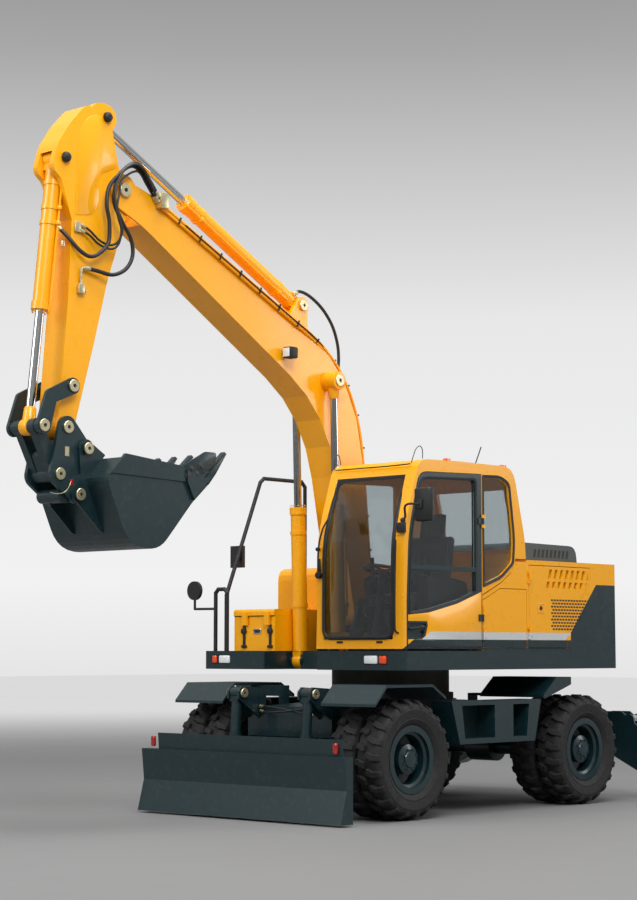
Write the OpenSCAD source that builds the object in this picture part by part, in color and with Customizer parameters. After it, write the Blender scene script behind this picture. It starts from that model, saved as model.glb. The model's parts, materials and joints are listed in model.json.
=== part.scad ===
// Wheeled excavator: a road-going digger on four pairs of twin tyres, with a blade at the
// boom's end, two outriggers at the other end and a one-piece boom.
// It is laid out in millimetres from the middle between its axles: X towards the blade,
// Y towards the cab's side and Z up from the ground. Side views are points [x, z].

/* [Wheels] */
// Distance between the two axles
wheelbase = 2600; // [2450:10:2800]
// Outer radius of a tyre
tyre_r = 526; // [505:1:540]
// Width of one tyre
tyre_w = 275; // [240:1:290]
// Distance between the middles of the two tyres of a pair
twin_pitch = 310; // [300:1:325]
// From the machine's middle to the middle of an outer tyre
track_half = 1110; // [1090:1:1150]
// Radius of the seat on which a tyre sits
rim_r = 254; // [244:1:270]
// Width of one rim between its flanges
rim_w = 200; // [180:1:210]
// Radius of the hub's outer end
hub_r = 130; // [110:1:150]
// Radius of a wheel's spindle
spindle_r = 80; // [60:1:85]

/* [Undercarriage] */
// Width of the frame's middle beam
frame_w = 640; // [560:10:700]
// Top of the frame's middle beam
frame_top = 1000; // [980:5:1020]
// Underside of the frame's middle beam
frame_low = 560; // [500:5:600]
// Thickness of a fender's plate
fender_t = 24; // [12:1:40]
// From the machine's middle to the kingpins
kingpin_y = 700; // [690:1:710]
// Length of a steering arm
steer_arm = 180; // [160:1:190]
// Outer face of the step boxes
step_y = 1240; // [1200:5:1260]
// Depth of the step boxes
step_d = 240; // [150:5:250]

/* [Blade] */
// Half of the blade's width
blade_half = 1250; // [1150:10:1270]
// Height of the blade's plate
blade_h = 580; // [540:10:600]
// Height of the pin about which the blade swings
blade_pin_z = 450; // [430:5:470]
// From the rigid axle forward to the blade's pin
blade_pin_ahead = 210; // [200:5:230]
// Distance from the blade's pin to the blade's front edge
blade_reach = 765; // [740:5:800]
// From the middle to each of the blade's arms
blade_arm_y = 440; // [420:5:460]
// Thickness of a blade arm
blade_arm_w = 90; // [70:5:110]

/* [Outriggers] */
// From the steered axle back to the middle of the legs
leg_behind = 1080; // [1050:5:1120]
// Width of the legs along the machine
leg_w = 160; // [140:5:170]
// From the machine's middle to a leg's pin
leg_pin_y = 420; // [400:5:440]
// Height of a leg's pin
leg_pin_z = 600; // [580:5:620]
// From the machine's middle to the middle of a foot
foot_y = 1850; // [1800:10:1950]
// Radius of a foot's plate
foot_r = 190; // [150:5:220]

/* [Turntable and deck] */
// The turning centre, ahead of the middle between the axles
slew_x = 170; // [150:5:190]
// Radius of the turntable's ring
slew_r = 600; // [560:10:640]
// Underside of the deck
deck_z = 1300; // [1290:5:1310]
// Height of the deck's edge beam
deck_h = 170; // [150:5:185]
// Half of the upper structure's width
deck_half = 1240; // [1200:5:1250]
// Front edge of the deck, ahead of the turning centre
deck_ahead = 1283; // [1270:5:1300]
// Radius that the tail sweeps about the turning centre
tail_r = 2330; // [2250:10:2400]
// Front edge of the counterweight, behind the turning centre
tail_ahead = 1220; // [1200:5:1240]

/* [Body panels] */
// Thickness of covers, doors and their frames
panel_t = 40; // [30:1:45]
// Top of the rear body
body_top = 2320; // [2280:5:2340]
// Height of the louvred engine cover above the body
hood_h = 210; // [180:5:230]
// Half of the engine cover's width
hood_half = 720; // [680:5:740]
// Gap round doors and covers
door_gap = 6; // [5:0.5:8]

/* [Cab] */
// Inner side wall of the cab, beside the boom
cab_in = 220; // [215:1:235]
// How far the cab's outer face stands out beyond the deck's side
cab_proud = 5; // [0:1:15]
// Thickness of the cab's walls and door
cab_t = 45; // [35:1:50]
// Top of the cab's roof
cab_top = 3180; // [3150:5:3220]
// Thickness of the window glass
glass_t = 6; // [4:1:10]

/* [Boom] */
// Middle plane of the boom, beside the machine's middle
boom_y = -120; // [-125:1:-115]
// Width of the boom
boom_w = 310; // [290:2:314]
// From the turning centre to the boom's foot pin
boom_foot_ahead = 430; // [420:5:440]
// Height of the boom's foot pin
boom_foot_z = 1842; // [1832:5:1852]
// Length of the boom between its foot pin and the arm's pin
boom_len = 4666; // [4560:2:4770]
// Angle at which the boom stands in the stored pose
boom_rise = 48.92; // [47.72:0.1:49.72]
// Radius of the boom's pins
boom_pin_r = 42; // [36:1:46]

/* [Arm] */
// Width of the arm
arm_w = 260; // [240:2:270]
// Length of the arm between its pin and the bucket's pin
arm_len = 2154; // [2100:2:2200]
// Direction of the arm in the stored pose
arm_lean = -73.96; // [-75:0.01:-73]
// Radius of the arm's pins
arm_pin_r = 36; // [30:1:40]

/* [Bucket] */
// Half of the bucket's width
bucket_half = 450; // [350:10:500]
// Thickness of the bucket's plates
bucket_t = 20; // [12:1:26]
// Number of teeth
teeth = 5; // [3:1:6]
// Radius of the bucket's pins
bucket_pin_r = 32; // [28:1:34]

/* [Cylinders] */
// Barrel radius of the two boom cylinders
boom_cyl_r = 70; // [60:1:70]
// Barrel radius of the arm cylinder
arm_cyl_r = 75; // [65:1:78]
// Barrel radius of the bucket cylinder
bucket_cyl_r = 68; // [60:1:70]
// From the boom's middle plane to each boom cylinder
boom_cyl_y = 240; // [238:1:243]

/* [Fits] */
// Gap between faces that turn on each other
side_gap = 0.4; // [0.3:0.1:2]
// Gap between a pin and its bore
pin_gap = 0.5; // [0.3:0.1:1]

/* [Hidden] */
$fn = 48;

dark = "#22393c";
yellow = "#ffb31a";
chrome = "#d8dadc";
black = "#1c1c1e";
grey = "#6f7f8a";

// Sides of a vector and of a point turned about the origin
function turn(p, a) = [p[0] * cos(a) - p[1] * sin(a), p[0] * sin(a) + p[1] * cos(a)];
function heading(p, q) = atan2(q[1] - p[1], q[0] - p[0]);
function unit(v) = v / norm(v);
// Points of an outline whose corners [x, y, cut] are curved from cut before to cut after
function eased(c, n = 4) = [for (i = [0:len(c) - 1])
    let(b = [c[i][0], c[i][1]], d = c[i][2],
        a = c[(i + len(c) - 1) % len(c)], e = c[(i + 1) % len(c)],
        p = b + d * unit([a[0], a[1]] - b), q = b + d * unit([e[0], e[1]] - b))
    each d == 0 ? [b] : [for (k = [0:n]) let(t = k / n)
        (1 - t) * (1 - t) * p + 2 * t * (1 - t) * b + t * t * q]];

// Side view extruded to the width w about the plane y
module slab(y, w) translate([0, y + w / 2, 0]) rotate([90, 0, 0]) linear_extrude(w) children();
// Round bar along Y at the side view's point p
module drum(p, y, w, r) slab(y, w) translate(p) circle(r);
// End view [y, z] extruded along X from x to x + w
module across(x, w) translate([x, 0, 0]) rotate([90, 0, 90]) linear_extrude(w) children();
// Plan extruded upwards from z
module plan(z, h) translate([0, 0, z]) linear_extrude(h) children();
// Box between two corners
module box(a, b) translate(a) cube(b - a);
// Round bar between two points
module bar(a, b, r) {
    d = b - a;
    translate(a) rotate([0, acos(d[2] / norm(d)), atan2(d[1], d[0])]) cylinder(h = norm(d), r = r);
}
// Bent round rail through points, with a ball at each inner point
module rail(points, r) {
    for (i = [0:len(points) - 2]) bar(points[i], points[i + 1], r);
    for (i = [1:len(points) - 2]) translate(points[i]) sphere(r + 1);
}
// Flat link: a round end at p and at q, joined by straight flanks that touch both
module link(p, q, rp, rq) {
    lean = acos((rp - rq) / norm(q - p));
    h = heading(p, q);
    translate(p) circle(rp);
    translate(q) circle(rq);
    polygon([p + rp * [cos(h + lean), sin(h + lean)], q + rq * [cos(h + lean), sin(h + lean)],
        q + rq * [cos(h - lean), sin(h - lean)], p + rp * [cos(h - lean), sin(h - lean)]]);
}
module both_sides() {
    children();
    mirror([0, 1, 0]) children();
}
// The whole machine is moved so that the origin lies below the middle of its bounding box
module placed() translate([-middle_x, 0, 0]) children();

// Layout
rigid_x = wheelbase / 2;
steer_x = -wheelbase / 2;
leg_x = steer_x - leg_behind;
blade_pin = [rigid_x + blade_pin_ahead, blade_pin_z];
blade_x = blade_pin[0] + blade_reach;
cab_out = deck_half + cab_proud;
boom_foot = [slew_x + boom_foot_ahead, boom_foot_z];
boom_tip = boom_foot + boom_len * [cos(boom_rise), sin(boom_rise)];
bucket_pin = boom_tip + arm_len * [cos(arm_lean), sin(arm_lean)];
function on_boom(p) = boom_foot + turn(p, boom_rise);
function on_arm(p) = boom_tip + turn(p, arm_lean);
function by_bucket(p) = bucket_pin + p;
// Boom points: along the line from foot pin to arm pin, and above it
boom_knee = 1774;
boom_cyl_eye = on_boom([1942, 1010]);
boom_arm_cyl = [2643, 1264];
arm_cyl_base = on_boom(boom_arm_cyl);
// Arm points: from the boom's tip towards the bucket, and forward of that line
arm_eye_off = [-526, 342];
arm_cyl_eye = on_arm(arm_eye_off);
bucket_base_off = [7, 657];
bucket_cyl_base = on_arm(bucket_base_off);
idler_pin = by_bucket([-23, 338]);
link_pin = by_bucket([278, -10]);
coupler_pin = by_bucket([80, -388]);
bucket_ear_high = by_bucket([-180, -166]);
bucket_ear_low = by_bucket([-100, -548]);
// Foot of the boom cylinders on the deck
boom_cyl_base = boom_foot + [440, -467];
link_end_r = 70;
leg_room = leg_w / 2 + 5;
box_plate = 25;
tow_eye = [leg_x - leg_room - box_plate - 70, 620];
tow_eye_r = 62;
rear_reach = tow_eye[0] - tow_eye_r;
front_reach = link_pin[0] + link_end_r;
middle_x = (front_reach + rear_reach) / 2;
deck_front = slew_x + deck_ahead;
tail_front = slew_x - tail_ahead;

// Wheels: revolved about Y at their axle, tyre and rim of one wheel seen from its middle
tyre_wall = 26;
shoulder = 34;
bead_w = 179.4;
belly_r = 390;
seat_gap = 0.3;
flange_h = 44;
well_r = 218;
rim_t = 12;
wheel_disc_r = 170;
hub_end = 75;
hub_back = 110;
module revolve_y() rotate([-90, 0, 0]) rotate_extrude() children();
// Half section of a tyre, [radius, across]
module tyre_section() {
    w = tyre_w / 2;
    b = bead_w / 2;
    s = rim_r + seat_gap;
    outer = [[s, -b], [s + flange_h + 4, -b], [s + flange_h + 18, -b - 16], [belly_r, -w], [tyre_r - shoulder, -w + 4],
        [tyre_r - 8, -w + shoulder], [tyre_r, -w + 2 * shoulder]];
    inner = [[tyre_r - 2 * tyre_wall, -w + 2 * shoulder], [tyre_r - 2 * shoulder, -w + 1.5 * tyre_wall],
        [belly_r, -w + tyre_wall], [s + 45, -b + 14], [s, -b + tyre_wall]];
    flip = [[1, 0], [0, -1]];
    polygon(concat(outer, [for (i = [len(outer) - 1:-1:0]) flip * outer[i]],
        [for (i = [len(inner) - 1:-1:0]) flip * inner[i]], inner));
}
module tyre_pair() for (k = [0, 1])
    translate([0, track_half - k * twin_pitch, 0]) revolve_y() tyre_section();
// Half section of the rim at y, whose disc lies on the side s
module rim_section(y, s) {
    w = rim_w / 2;
    joint = (track_half - twin_pitch / 2 - y) * s;
    f = rim_r + flange_h;
    translate([0, y]) scale([1, s]) union() {
        polygon([[f, -w], [f, -w + 8], [rim_r, -w + 10], [rim_r, -60], [well_r + rim_t, -45],
            [well_r + rim_t, 45], [rim_r, 60], [rim_r, w - 10], [f, w - 8], [f, w],
            [rim_r - rim_t, w], [rim_r - rim_t, 64], [well_r, 49], [well_r, -49],
            [rim_r - rim_t, -64], [rim_r - rim_t, -w]]);
        polygon([[rim_r - 2, w - 16], [rim_r - 2, w], [wheel_disc_r, joint], [spindle_r + 4, joint],
            [spindle_r + 4, joint - rim_t], [wheel_disc_r, joint - rim_t]]);
    }
}
module rim_pair() {
    joint_y = track_half - twin_pitch / 2;
    hub_out = track_half + hub_end;
    difference() {
        union() {
            revolve_y() rim_section(track_half, -1);
            revolve_y() rim_section(track_half - twin_pitch, 1);
            revolve_y() polygon([[0, joint_y - hub_back], [0, hub_out], [hub_r - 40, hub_out],
                [hub_r, hub_out - 20], [hub_r, joint_y + 30], [hub_r + 30, joint_y + 20],
                [hub_r + 30, joint_y - 30], [hub_r, joint_y - hub_back]]);
        }
        translate([0, joint_y - hub_back - 1, 0]) rotate([-90, 0, 0])
            cylinder(h = hub_back, r = spindle_r + pin_gap);
    }
}
// A wheel's corner: x of its axle and the side, 1 for the cab's side
module corner(x, side) translate([x, 0, tyre_r]) scale([1, side, 1]) children();
module tyres_front_left() color(black) placed() corner(rigid_x, 1) tyre_pair();
module tyres_front_right() color(black) placed() mirror([0, 1, 0]) corner(rigid_x, 1) tyre_pair();
module tyres_rear_left() color(black) placed() corner(steer_x, 1) tyre_pair();
module tyres_rear_right() color(black) placed() mirror([0, 1, 0]) corner(steer_x, 1) tyre_pair();
module rims_front_left() color(dark) placed() corner(rigid_x, 1) rim_pair();
module rims_front_right() color(dark) placed() mirror([0, 1, 0]) corner(rigid_x, 1) rim_pair();
module rims_rear_left() color(dark) placed() corner(steer_x, 1) rim_pair();
module rims_rear_right() color(dark) placed() mirror([0, 1, 0]) corner(steer_x, 1) rim_pair();

// Axles
spindle_end = track_half - twin_pitch / 2 - 5;
axle_r = 80;
diff_r = 180;
yoke_r = 62;
yoke_low = 104;
yoke_high = 156;
kingpin_r = 30;
module spindle_out(y) translate([0, y, 0]) rotate([-90, 0, 0])
    cylinder(h = spindle_end - y, r = spindle_r);
module rigid_axle() color(dark) placed() translate([rigid_x, 0, tyre_r]) {
    both_sides() {
        translate([0, -1, 0]) rotate([-90, 0, 0]) cylinder(h = 640, r = axle_r);
        translate([0, 560, 0]) rotate([-90, 0, 0]) cylinder(h = 90, r = 115);
        spindle_out(600);
        box([-70, 250, 0], [70, 320, frame_low + 60 - tyre_r]);
    }
    rotate([-90, 0, 0]) translate([0, 0, -150]) cylinder(h = 300, r = diff_r);
}
module steer_axle() color(dark) placed() translate([steer_x, 0, tyre_r]) {
    both_sides() {
        translate([0, -1, 0]) rotate([-90, 0, 0]) cylinder(h = 560, r = axle_r);
        // Yoke round the kingpin, above and below the knuckle
        difference() {
            union() {
                translate([-yoke_r, 500, -yoke_high]) cube([2 * yoke_r, kingpin_y - 500, 2 * yoke_high]);
                translate([0, kingpin_y, -yoke_high]) cylinder(h = 2 * yoke_high, r = yoke_r);
            }
            translate([-yoke_r - 1, 560, -yoke_low]) cube([2 * yoke_r + 2, 300, 2 * yoke_low]);
        }
        for (z = [-yoke_high, yoke_low - 40]) translate([0, kingpin_y, z])
            cylinder(h = yoke_high - yoke_low + 40, r = kingpin_r);
        box([-70, 200, 0], [70, 300, frame_top - 270 - tyre_r]);
    }
    rotate([-90, 0, 0]) translate([0, 0, -150]) cylinder(h = 300, r = diff_r - 30);
}
// Steering: knuckles on the kingpins, joined by a rod behind the axle
arm_end = [steer_x - steer_arm, kingpin_y - 40];
arm_z = tyre_r - 20;
knuckle_core = 78;
module knuckle() translate([steer_x, 0, tyre_r]) difference() {
    union() {
        translate([0, kingpin_y, -yoke_low + side_gap])
            cylinder(h = 2 * (yoke_low - side_gap), r = knuckle_core);
        spindle_out(kingpin_y);
        translate([-steer_x, 0, -tyre_r]) plan(arm_z, 34) link([steer_x, kingpin_y], arm_end, 60, 34);
    }
    for (z = [-yoke_low, yoke_low - 42]) translate([0, kingpin_y, z])
        cylinder(h = 42, r = kingpin_r + pin_gap);
}
module knuckle_left() color(dark) placed() knuckle();
module knuckle_right() color(dark) placed() mirror([0, 1, 0]) knuckle();
module tie_rod() color(dark) placed() {
    z = arm_z - 40;
    both_sides() translate([arm_end[0], arm_end[1], z - side_gap]) cylinder(h = 40, r = 27);
    bar([arm_end[0], -arm_end[1], z + 18], [arm_end[0], arm_end[1], z + 18], 17);
}

// Undercarriage
ring_gap = 5;
module chassis_frame() color(dark) placed() {
    beam = [[leg_x + leg_room + box_plate, 640], [leg_x + leg_room + box_plate, 900], [steer_x - 500, 960], [steer_x + 300, 970],
        [-560, frame_top], [900, frame_top], [rigid_x + 260, 970], [rigid_x + 260, frame_low],
        [rigid_x + 170, frame_low], [rigid_x + 130, frame_low + 60], [rigid_x - 130, frame_low + 60],
        [rigid_x - 320, frame_low], [steer_x + 420, frame_low], [steer_x + 230, frame_top - 270],
        [steer_x - 330, frame_top - 270], [steer_x - 430, 640]];
    difference() {
        slab(0, frame_w) polygon(beam);
        // The axle with the differential hangs in the arch
        translate([rigid_x, 0, tyre_r]) rotate([90, 0, 0]) cylinder(h = 310, r = diff_r + 6, center = true);
    }
    // Seat of the turntable
    translate([slew_x, 0, frame_top - 40]) cylinder(h = 60, r = slew_r + 30);
    // Cross beam and brackets that carry the blade and its cylinders
    cross_x = rigid_x + 260;
    box([cross_x - 100, -520, 700], [cross_x + 20, 520, 960]);
    both_sides() {
        for (y = [blade_arm_y - 75, blade_arm_y + 53]) {
            slab(y + 11, 22) polygon([[cross_x - 60, 960], [cross_x - 60, 1130],
                [blade_cyl_top[0] + 20, blade_cyl_top[1] + 60], [blade_cyl_top[0] + 60, blade_cyl_top[1] + 20],
                [blade_cyl_top[0] + 60, blade_cyl_top[1] - 50], [cross_x + 20, 860], [cross_x - 60, 860]]);
            slab(y + 11, 22) union() {
                translate(blade_pin) circle(75);
                polygon([[cross_x - 100, 720], [cross_x + 20, 720], [blade_pin[0] + 72, blade_pin[1]],
                    [blade_pin[0] - 72, blade_pin[1]]]);
            }
        }
        drum(blade_cyl_top, blade_arm_y, 170, 28);
        drum(blade_pin, blade_arm_y, 170, 30);
    }
}
// Box at the end of the frame in which the two legs swing
module outrigger_frame() color(dark) placed() {
    wide = leg_room;
    for (x = [leg_x + wide, leg_x - wide - box_plate]) across(x, box_plate)
        polygon([[-560, 500], [-560, 900], [-380, 960], [380, 960], [560, 900], [560, 500], [420, 470], [-420, 470]]);
    both_sides() {
        translate([leg_x - wide - box_plate + 2, leg_pin_y, leg_pin_z]) rotate([0, 90, 0])
            cylinder(h = 2 * wide + 2 * box_plate - 4, r = 34);
        translate([leg_x - wide - box_plate + 2, leg_cyl_top[0], leg_cyl_top[1]]) rotate([0, 90, 0])
            cylinder(h = 2 * wide + 2 * box_plate - 4, r = 26);
    }
    box([leg_x - wide - 1, -120, 480], [leg_x + wide + 1, 120, 560]);
    // Towing eye's plate
    difference() {
        slab(0, 50) union() {
            translate(tow_eye) circle(tow_eye_r);
            polygon([tow_eye + [0, 62], tow_eye + [71, 90], tow_eye + [71, -90], tow_eye + [0, -62]]);
        }
        drum(tow_eye, 0, 60, eye_r);
    }
}
eye_r = 30;
module slew_ring() color(grey) placed() translate([slew_x, 0, 0]) {
    plan(frame_top + 20, 60) difference() { circle(slew_r); circle(slew_r - 140); }
    plan(frame_top + 80, deck_z - frame_top - 80 - side_gap) difference() {
        circle(slew_r - 40);
        circle(slew_r - 140);
    }
}
// Fenders: side views of the plates over the tyres
fender_out = deck_half;
module fender(profile, y0, y1) {
    slab((y0 + y1) / 2, y1 - y0) polygon(concat(profile,
        [for (i = [len(profile) - 1:-1:0]) profile[i] - [0, fender_t]]));
}
module fenders() color(dark) placed() both_sides() {
    fender([[rigid_x + 520, 1014], [rigid_x + 366, 1176], [rigid_x - 254, 1176], [rigid_x - 439, 1063]], 610, fender_out);
    box([rigid_x - 60, frame_w / 2 - 1, 1060], [rigid_x + 60, 700, 1176 - fender_t]);
    box([rigid_x - 60, frame_w / 2, 900], [rigid_x + 60, frame_w / 2 + 20, 1061]);
    fender([[steer_x + 256, 1223], [steer_x + 490, 1223], [steer_x + 700, 1056]], frame_w / 2 + 160, fender_out);
    slab(fender_out - 6, 12) polygon([[steer_x + 256, 1211], [steer_x + 480, 1211], [steer_x + 690, 1050],
        [steer_x + 690, 1020], [steer_x + 256, 1150]]);
    box([steer_x + 560, frame_w / 2 - 1, 1040], [steer_x + 690, frame_w / 2 + 220, 1064]);
    box([steer_x + 560, frame_w / 2, 900], [steer_x + 690, frame_w / 2 + 20, 1041]);
}
// Step boxes between the wheels, with two steps cut in each
module step_boxes() color(dark) placed() both_sides() {
    high = 1020;
    low = 636;
    front = 781;
    rear = -558;
    wall = 36;
    y = step_y - step_d / 2;
    difference() {
        slab(y, step_d) polygon([[rear, high], [front, high], [front - 117, low], [rear + 102, low]]);
        slab(y + wall, step_d) {
            polygon([[153, 980], [634, 980], [590, 685], [153, 685]]);
            polygon([[-370, 980], [-125, 980], [-125, 685], [-330, 685]]);
        }
    }
    for (x = [-300, 460]) box([x, frame_w / 2, 780], [x + 90, step_y - step_d + 1, 880]);
}

// Blade: arms swing about the blade pin, two cylinders lift it
blade_cyl_top = [rigid_x + 500, 1090];
blade_cyl_low = blade_pin + [340, -30];
plate_t = 24;
module dozer_blade() color(dark) placed() {
    face = [[blade_x, 20], [blade_x - 75, 300], [blade_x - 45, blade_h]];
    both_sides() {
        slab(blade_half / 2, blade_half + 1) polygon(concat(face,
            [for (i = [2:-1:0]) face[i] - [plate_t, 0]]));
        slab(blade_half - 10, 20) polygon([[blade_x, 20], [blade_x - 75, 300], [blade_x - 45, blade_h],
            [blade_x - 155, blade_h], [blade_x - 155, 20]]);
        // Back stiffeners: a box along the blade's foot and one below its top
        slab(blade_half / 2 - 10, blade_half - 19) polygon([[blade_x - 20, 40], [blade_x - 90, 290],
            [blade_x - 155, 250], [blade_x - 155, 40]]);
        slab(blade_half / 2 - 10, blade_half - 19) polygon([[blade_x - 50, 560], [blade_x - 50, blade_h],
            [blade_x - 150, blade_h], [blade_x - 150, 560]]);
        for (y = [blade_arm_y - 130, blade_arm_y + 130]) slab(y, 18) polygon([[blade_x - 90, 280],
            [blade_x - 60, 570], [blade_x - 140, 570], [blade_x - 155, 240]]);
        difference() {
            union() {
                slab(blade_arm_y, blade_arm_w) union() {
                    translate(blade_pin) circle(62);
                    polygon([blade_pin + [-10, 61], blade_pin + [170, -40], blade_pin + [420, -70],
                        [blade_x - 100, 330], [blade_x - 100, 90], blade_pin + [430, -280],
                        blade_pin + [150, -200], blade_pin + [-30, -54]]);
                }
                for (s = [-1, 1]) slab(blade_arm_y + s * 52, 20) union() {
                    translate(blade_cyl_low) circle(52);
                    polygon([blade_cyl_low + [-52, 0], blade_cyl_low + [52, 0],
                        blade_cyl_low + [110, -160], blade_cyl_low + [-110, -140]]);
                }
            }
            drum(blade_pin, blade_arm_y, 300, 30 + pin_gap);
            slab(blade_arm_y, 84) translate(blade_cyl_low) circle(66);
        }
        for (t = [-1, 1]) drum(blade_cyl_low, blade_arm_y + t * 56.5, 30, 24);
    }
    slab(60, 2 * 1130) polygon([[blade_x - 90, blade_h], [blade_x - 78, 725], [blade_x - 90, 725], [blade_x - 102, blade_h]]);
}
// Hinge along Z at [x, y]: eyes at the heights rows, with a leaf that reaches across by reach;
// the other side's eyes stand above and below them
hinge_r = 10;
eye_h = 60;
module hinge_eyes(p, rows, reach, h = eye_h) for (z = rows) {
    translate([p[0], p[1], z - h / 2]) cylinder(h = h, r = hinge_r);
    box([min(p[0], p[0] + reach), p[1] - hinge_r - 1, z - h / 2], [max(p[0], p[0] + reach), p[1] + 2, z + h / 2]);
}
function beside(rows) = [for (z = rows, e = [-1, 1]) z + e * (0.75 * eye_h + side_gap)];
module hinge_seats(p, rows, reach) hinge_eyes(p, beside(rows), reach, eye_h / 2);
// The same along Y at the side view's point p, with a leaf that reaches down by drop
module level_eyes(p, rows, drop, h = eye_h) for (y = rows) slab(y, h) {
    translate(p) circle(hinge_r);
    translate(p + [-hinge_r, -drop]) square([2 * hinge_r, drop]);
}
// Cylinder along its own X from its eye: a barrel with a gland, open for the rod
module barrel(length, r, eye, eye_w, rod) {
    neck = eye + 24;
    difference() {
        union() {
            rotate([90, 0, 0]) cylinder(h = eye_w, r = eye, center = true);
            translate([0, -eye_w / 2, -eye * 0.8]) cube([neck + 1, eye_w, eye * 1.6]);
            translate([neck, 0, 0]) rotate([0, 90, 0]) cylinder(h = length - neck - 10, r = r);
            translate([length - 70, 0, 0]) rotate([0, 90, 0]) cylinder(h = 70, r = r + 9);
        }
        translate([neck + 14, 0, 0]) rotate([0, 90, 0]) cylinder(h = length, r = rod + pin_gap);
    }
}
// The rod, from its hidden end at start to its eye
module rod(start, length, r, eye, eye_w) {
    translate([start, 0, 0]) rotate([0, 90, 0]) cylinder(h = length - start, r = r);
    translate([length, 0, 0]) rotate([90, 0, 0]) cylinder(h = eye_w, r = eye, center = true);
}
// Puts something that lies along X on the line from p to q in the side view at y
module aim(p, q, y) translate([p[0], y, p[1]]) rotate([0, -heading(p, q), 0]) children();
module pin_hole(r) rotate([90, 0, 0]) cylinder(h = 400, r = r + pin_gap, center = true);
blade_rod_r = 28;
module blade_barrels() color(dark) placed() both_sides() aim(blade_cyl_top, blade_cyl_low, blade_arm_y)
    difference() {
        barrel(430, 46, 52, 100, blade_rod_r);
        pin_hole(28);
    }
module blade_rods() color(chrome) placed() both_sides() aim(blade_cyl_top, blade_cyl_low, blade_arm_y)
    rod(330, norm(blade_cyl_low - blade_cyl_top), blade_rod_r, 46, 80);

// Outriggers: legs in the end view, [y, z]
leg_pin = [leg_pin_y, leg_pin_z];
leg_cyl_top = [290, 850];
leg_cyl_low = leg_pin + [630, 180];
foot_pin = [foot_y, 170];
module outrigger_leg() difference() {
    union() {
        across(leg_x - leg_w / 2, leg_w) difference() {
            union() {
                translate(leg_pin) circle(90);
                polygon([leg_pin + [-30, 84], [750, 860], [960, 860], [1150, 720], foot_pin + [10, 60],
                    foot_pin + [20, -58], [1150, 270], [860, 410], leg_pin + [40, -84]]);
                translate(foot_pin) circle(60);
            }
        }
        across(leg_x - leg_w / 2, leg_w) union() {
            translate(leg_cyl_low) circle(55);
            polygon([leg_cyl_low + [-55, 0], leg_cyl_low + [55, 0], leg_cyl_low + [90, -120], leg_cyl_low + [-110, -60]]);
        }
    }
    // Bore for the leg's pin, slot for the rod's eye
    translate([leg_x, leg_pin[0], leg_pin[1]]) rotate([0, 90, 0])
        cylinder(h = leg_w + 2, r = 34 + pin_gap, center = true);
    across(leg_x - 61, 122) {
        link(leg_cyl_low, [600, 810], 80, 94);
        link(leg_cyl_low, leg_cyl_top, 70, 72);
    }
}
module foot() {
    translate([leg_x, foot_y, 0]) cylinder(h = 26, r = foot_r);
    for (s = [-1, 1]) across(leg_x + s * (leg_w / 2 + 13) - 12, 24) union() {
        translate(foot_pin) circle(52);
        polygon([foot_pin + [-52, 0], foot_pin + [52, 0], [foot_y + 110, 25], [foot_y - 110, 25]]);
    }
    translate([leg_x, foot_y, foot_pin[1]]) rotate([0, 90, 0]) cylinder(h = leg_w + 50, r = 26, center = true);
}
module outrigger_side() {
    difference() {
        outrigger_leg();
        translate([leg_x, foot_y, foot_pin[1]]) rotate([0, 90, 0]) cylinder(h = leg_w + 2, r = 26, center = true);
    }
    foot();
}
module leg_aim() translate([leg_x, leg_cyl_top[0], leg_cyl_top[1]]) rotate([0, 0, 90])
    rotate([0, -heading(leg_cyl_top, leg_cyl_low), 0]) children();
leg_rod_r = 28;
module leg_barrel() leg_aim() difference() {
    barrel(404, 48, 48, 114, leg_rod_r);
    pin_hole(26);
}
module leg_rod() leg_aim() rod(378, norm(leg_cyl_low - leg_cyl_top), leg_rod_r, 45, 114);
module outrigger_leg_left() color(dark) placed() outrigger_side();
module outrigger_leg_right() color(dark) placed() mirror([0, 1, 0]) outrigger_side();
module outrigger_barrel_left() color(dark) placed() leg_barrel();
module outrigger_barrel_right() color(dark) placed() mirror([0, 1, 0]) leg_barrel();
module outrigger_rod_left() color(chrome) placed() leg_rod();
module outrigger_rod_right() color(chrome) placed() mirror([0, 1, 0]) leg_rod();

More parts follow.
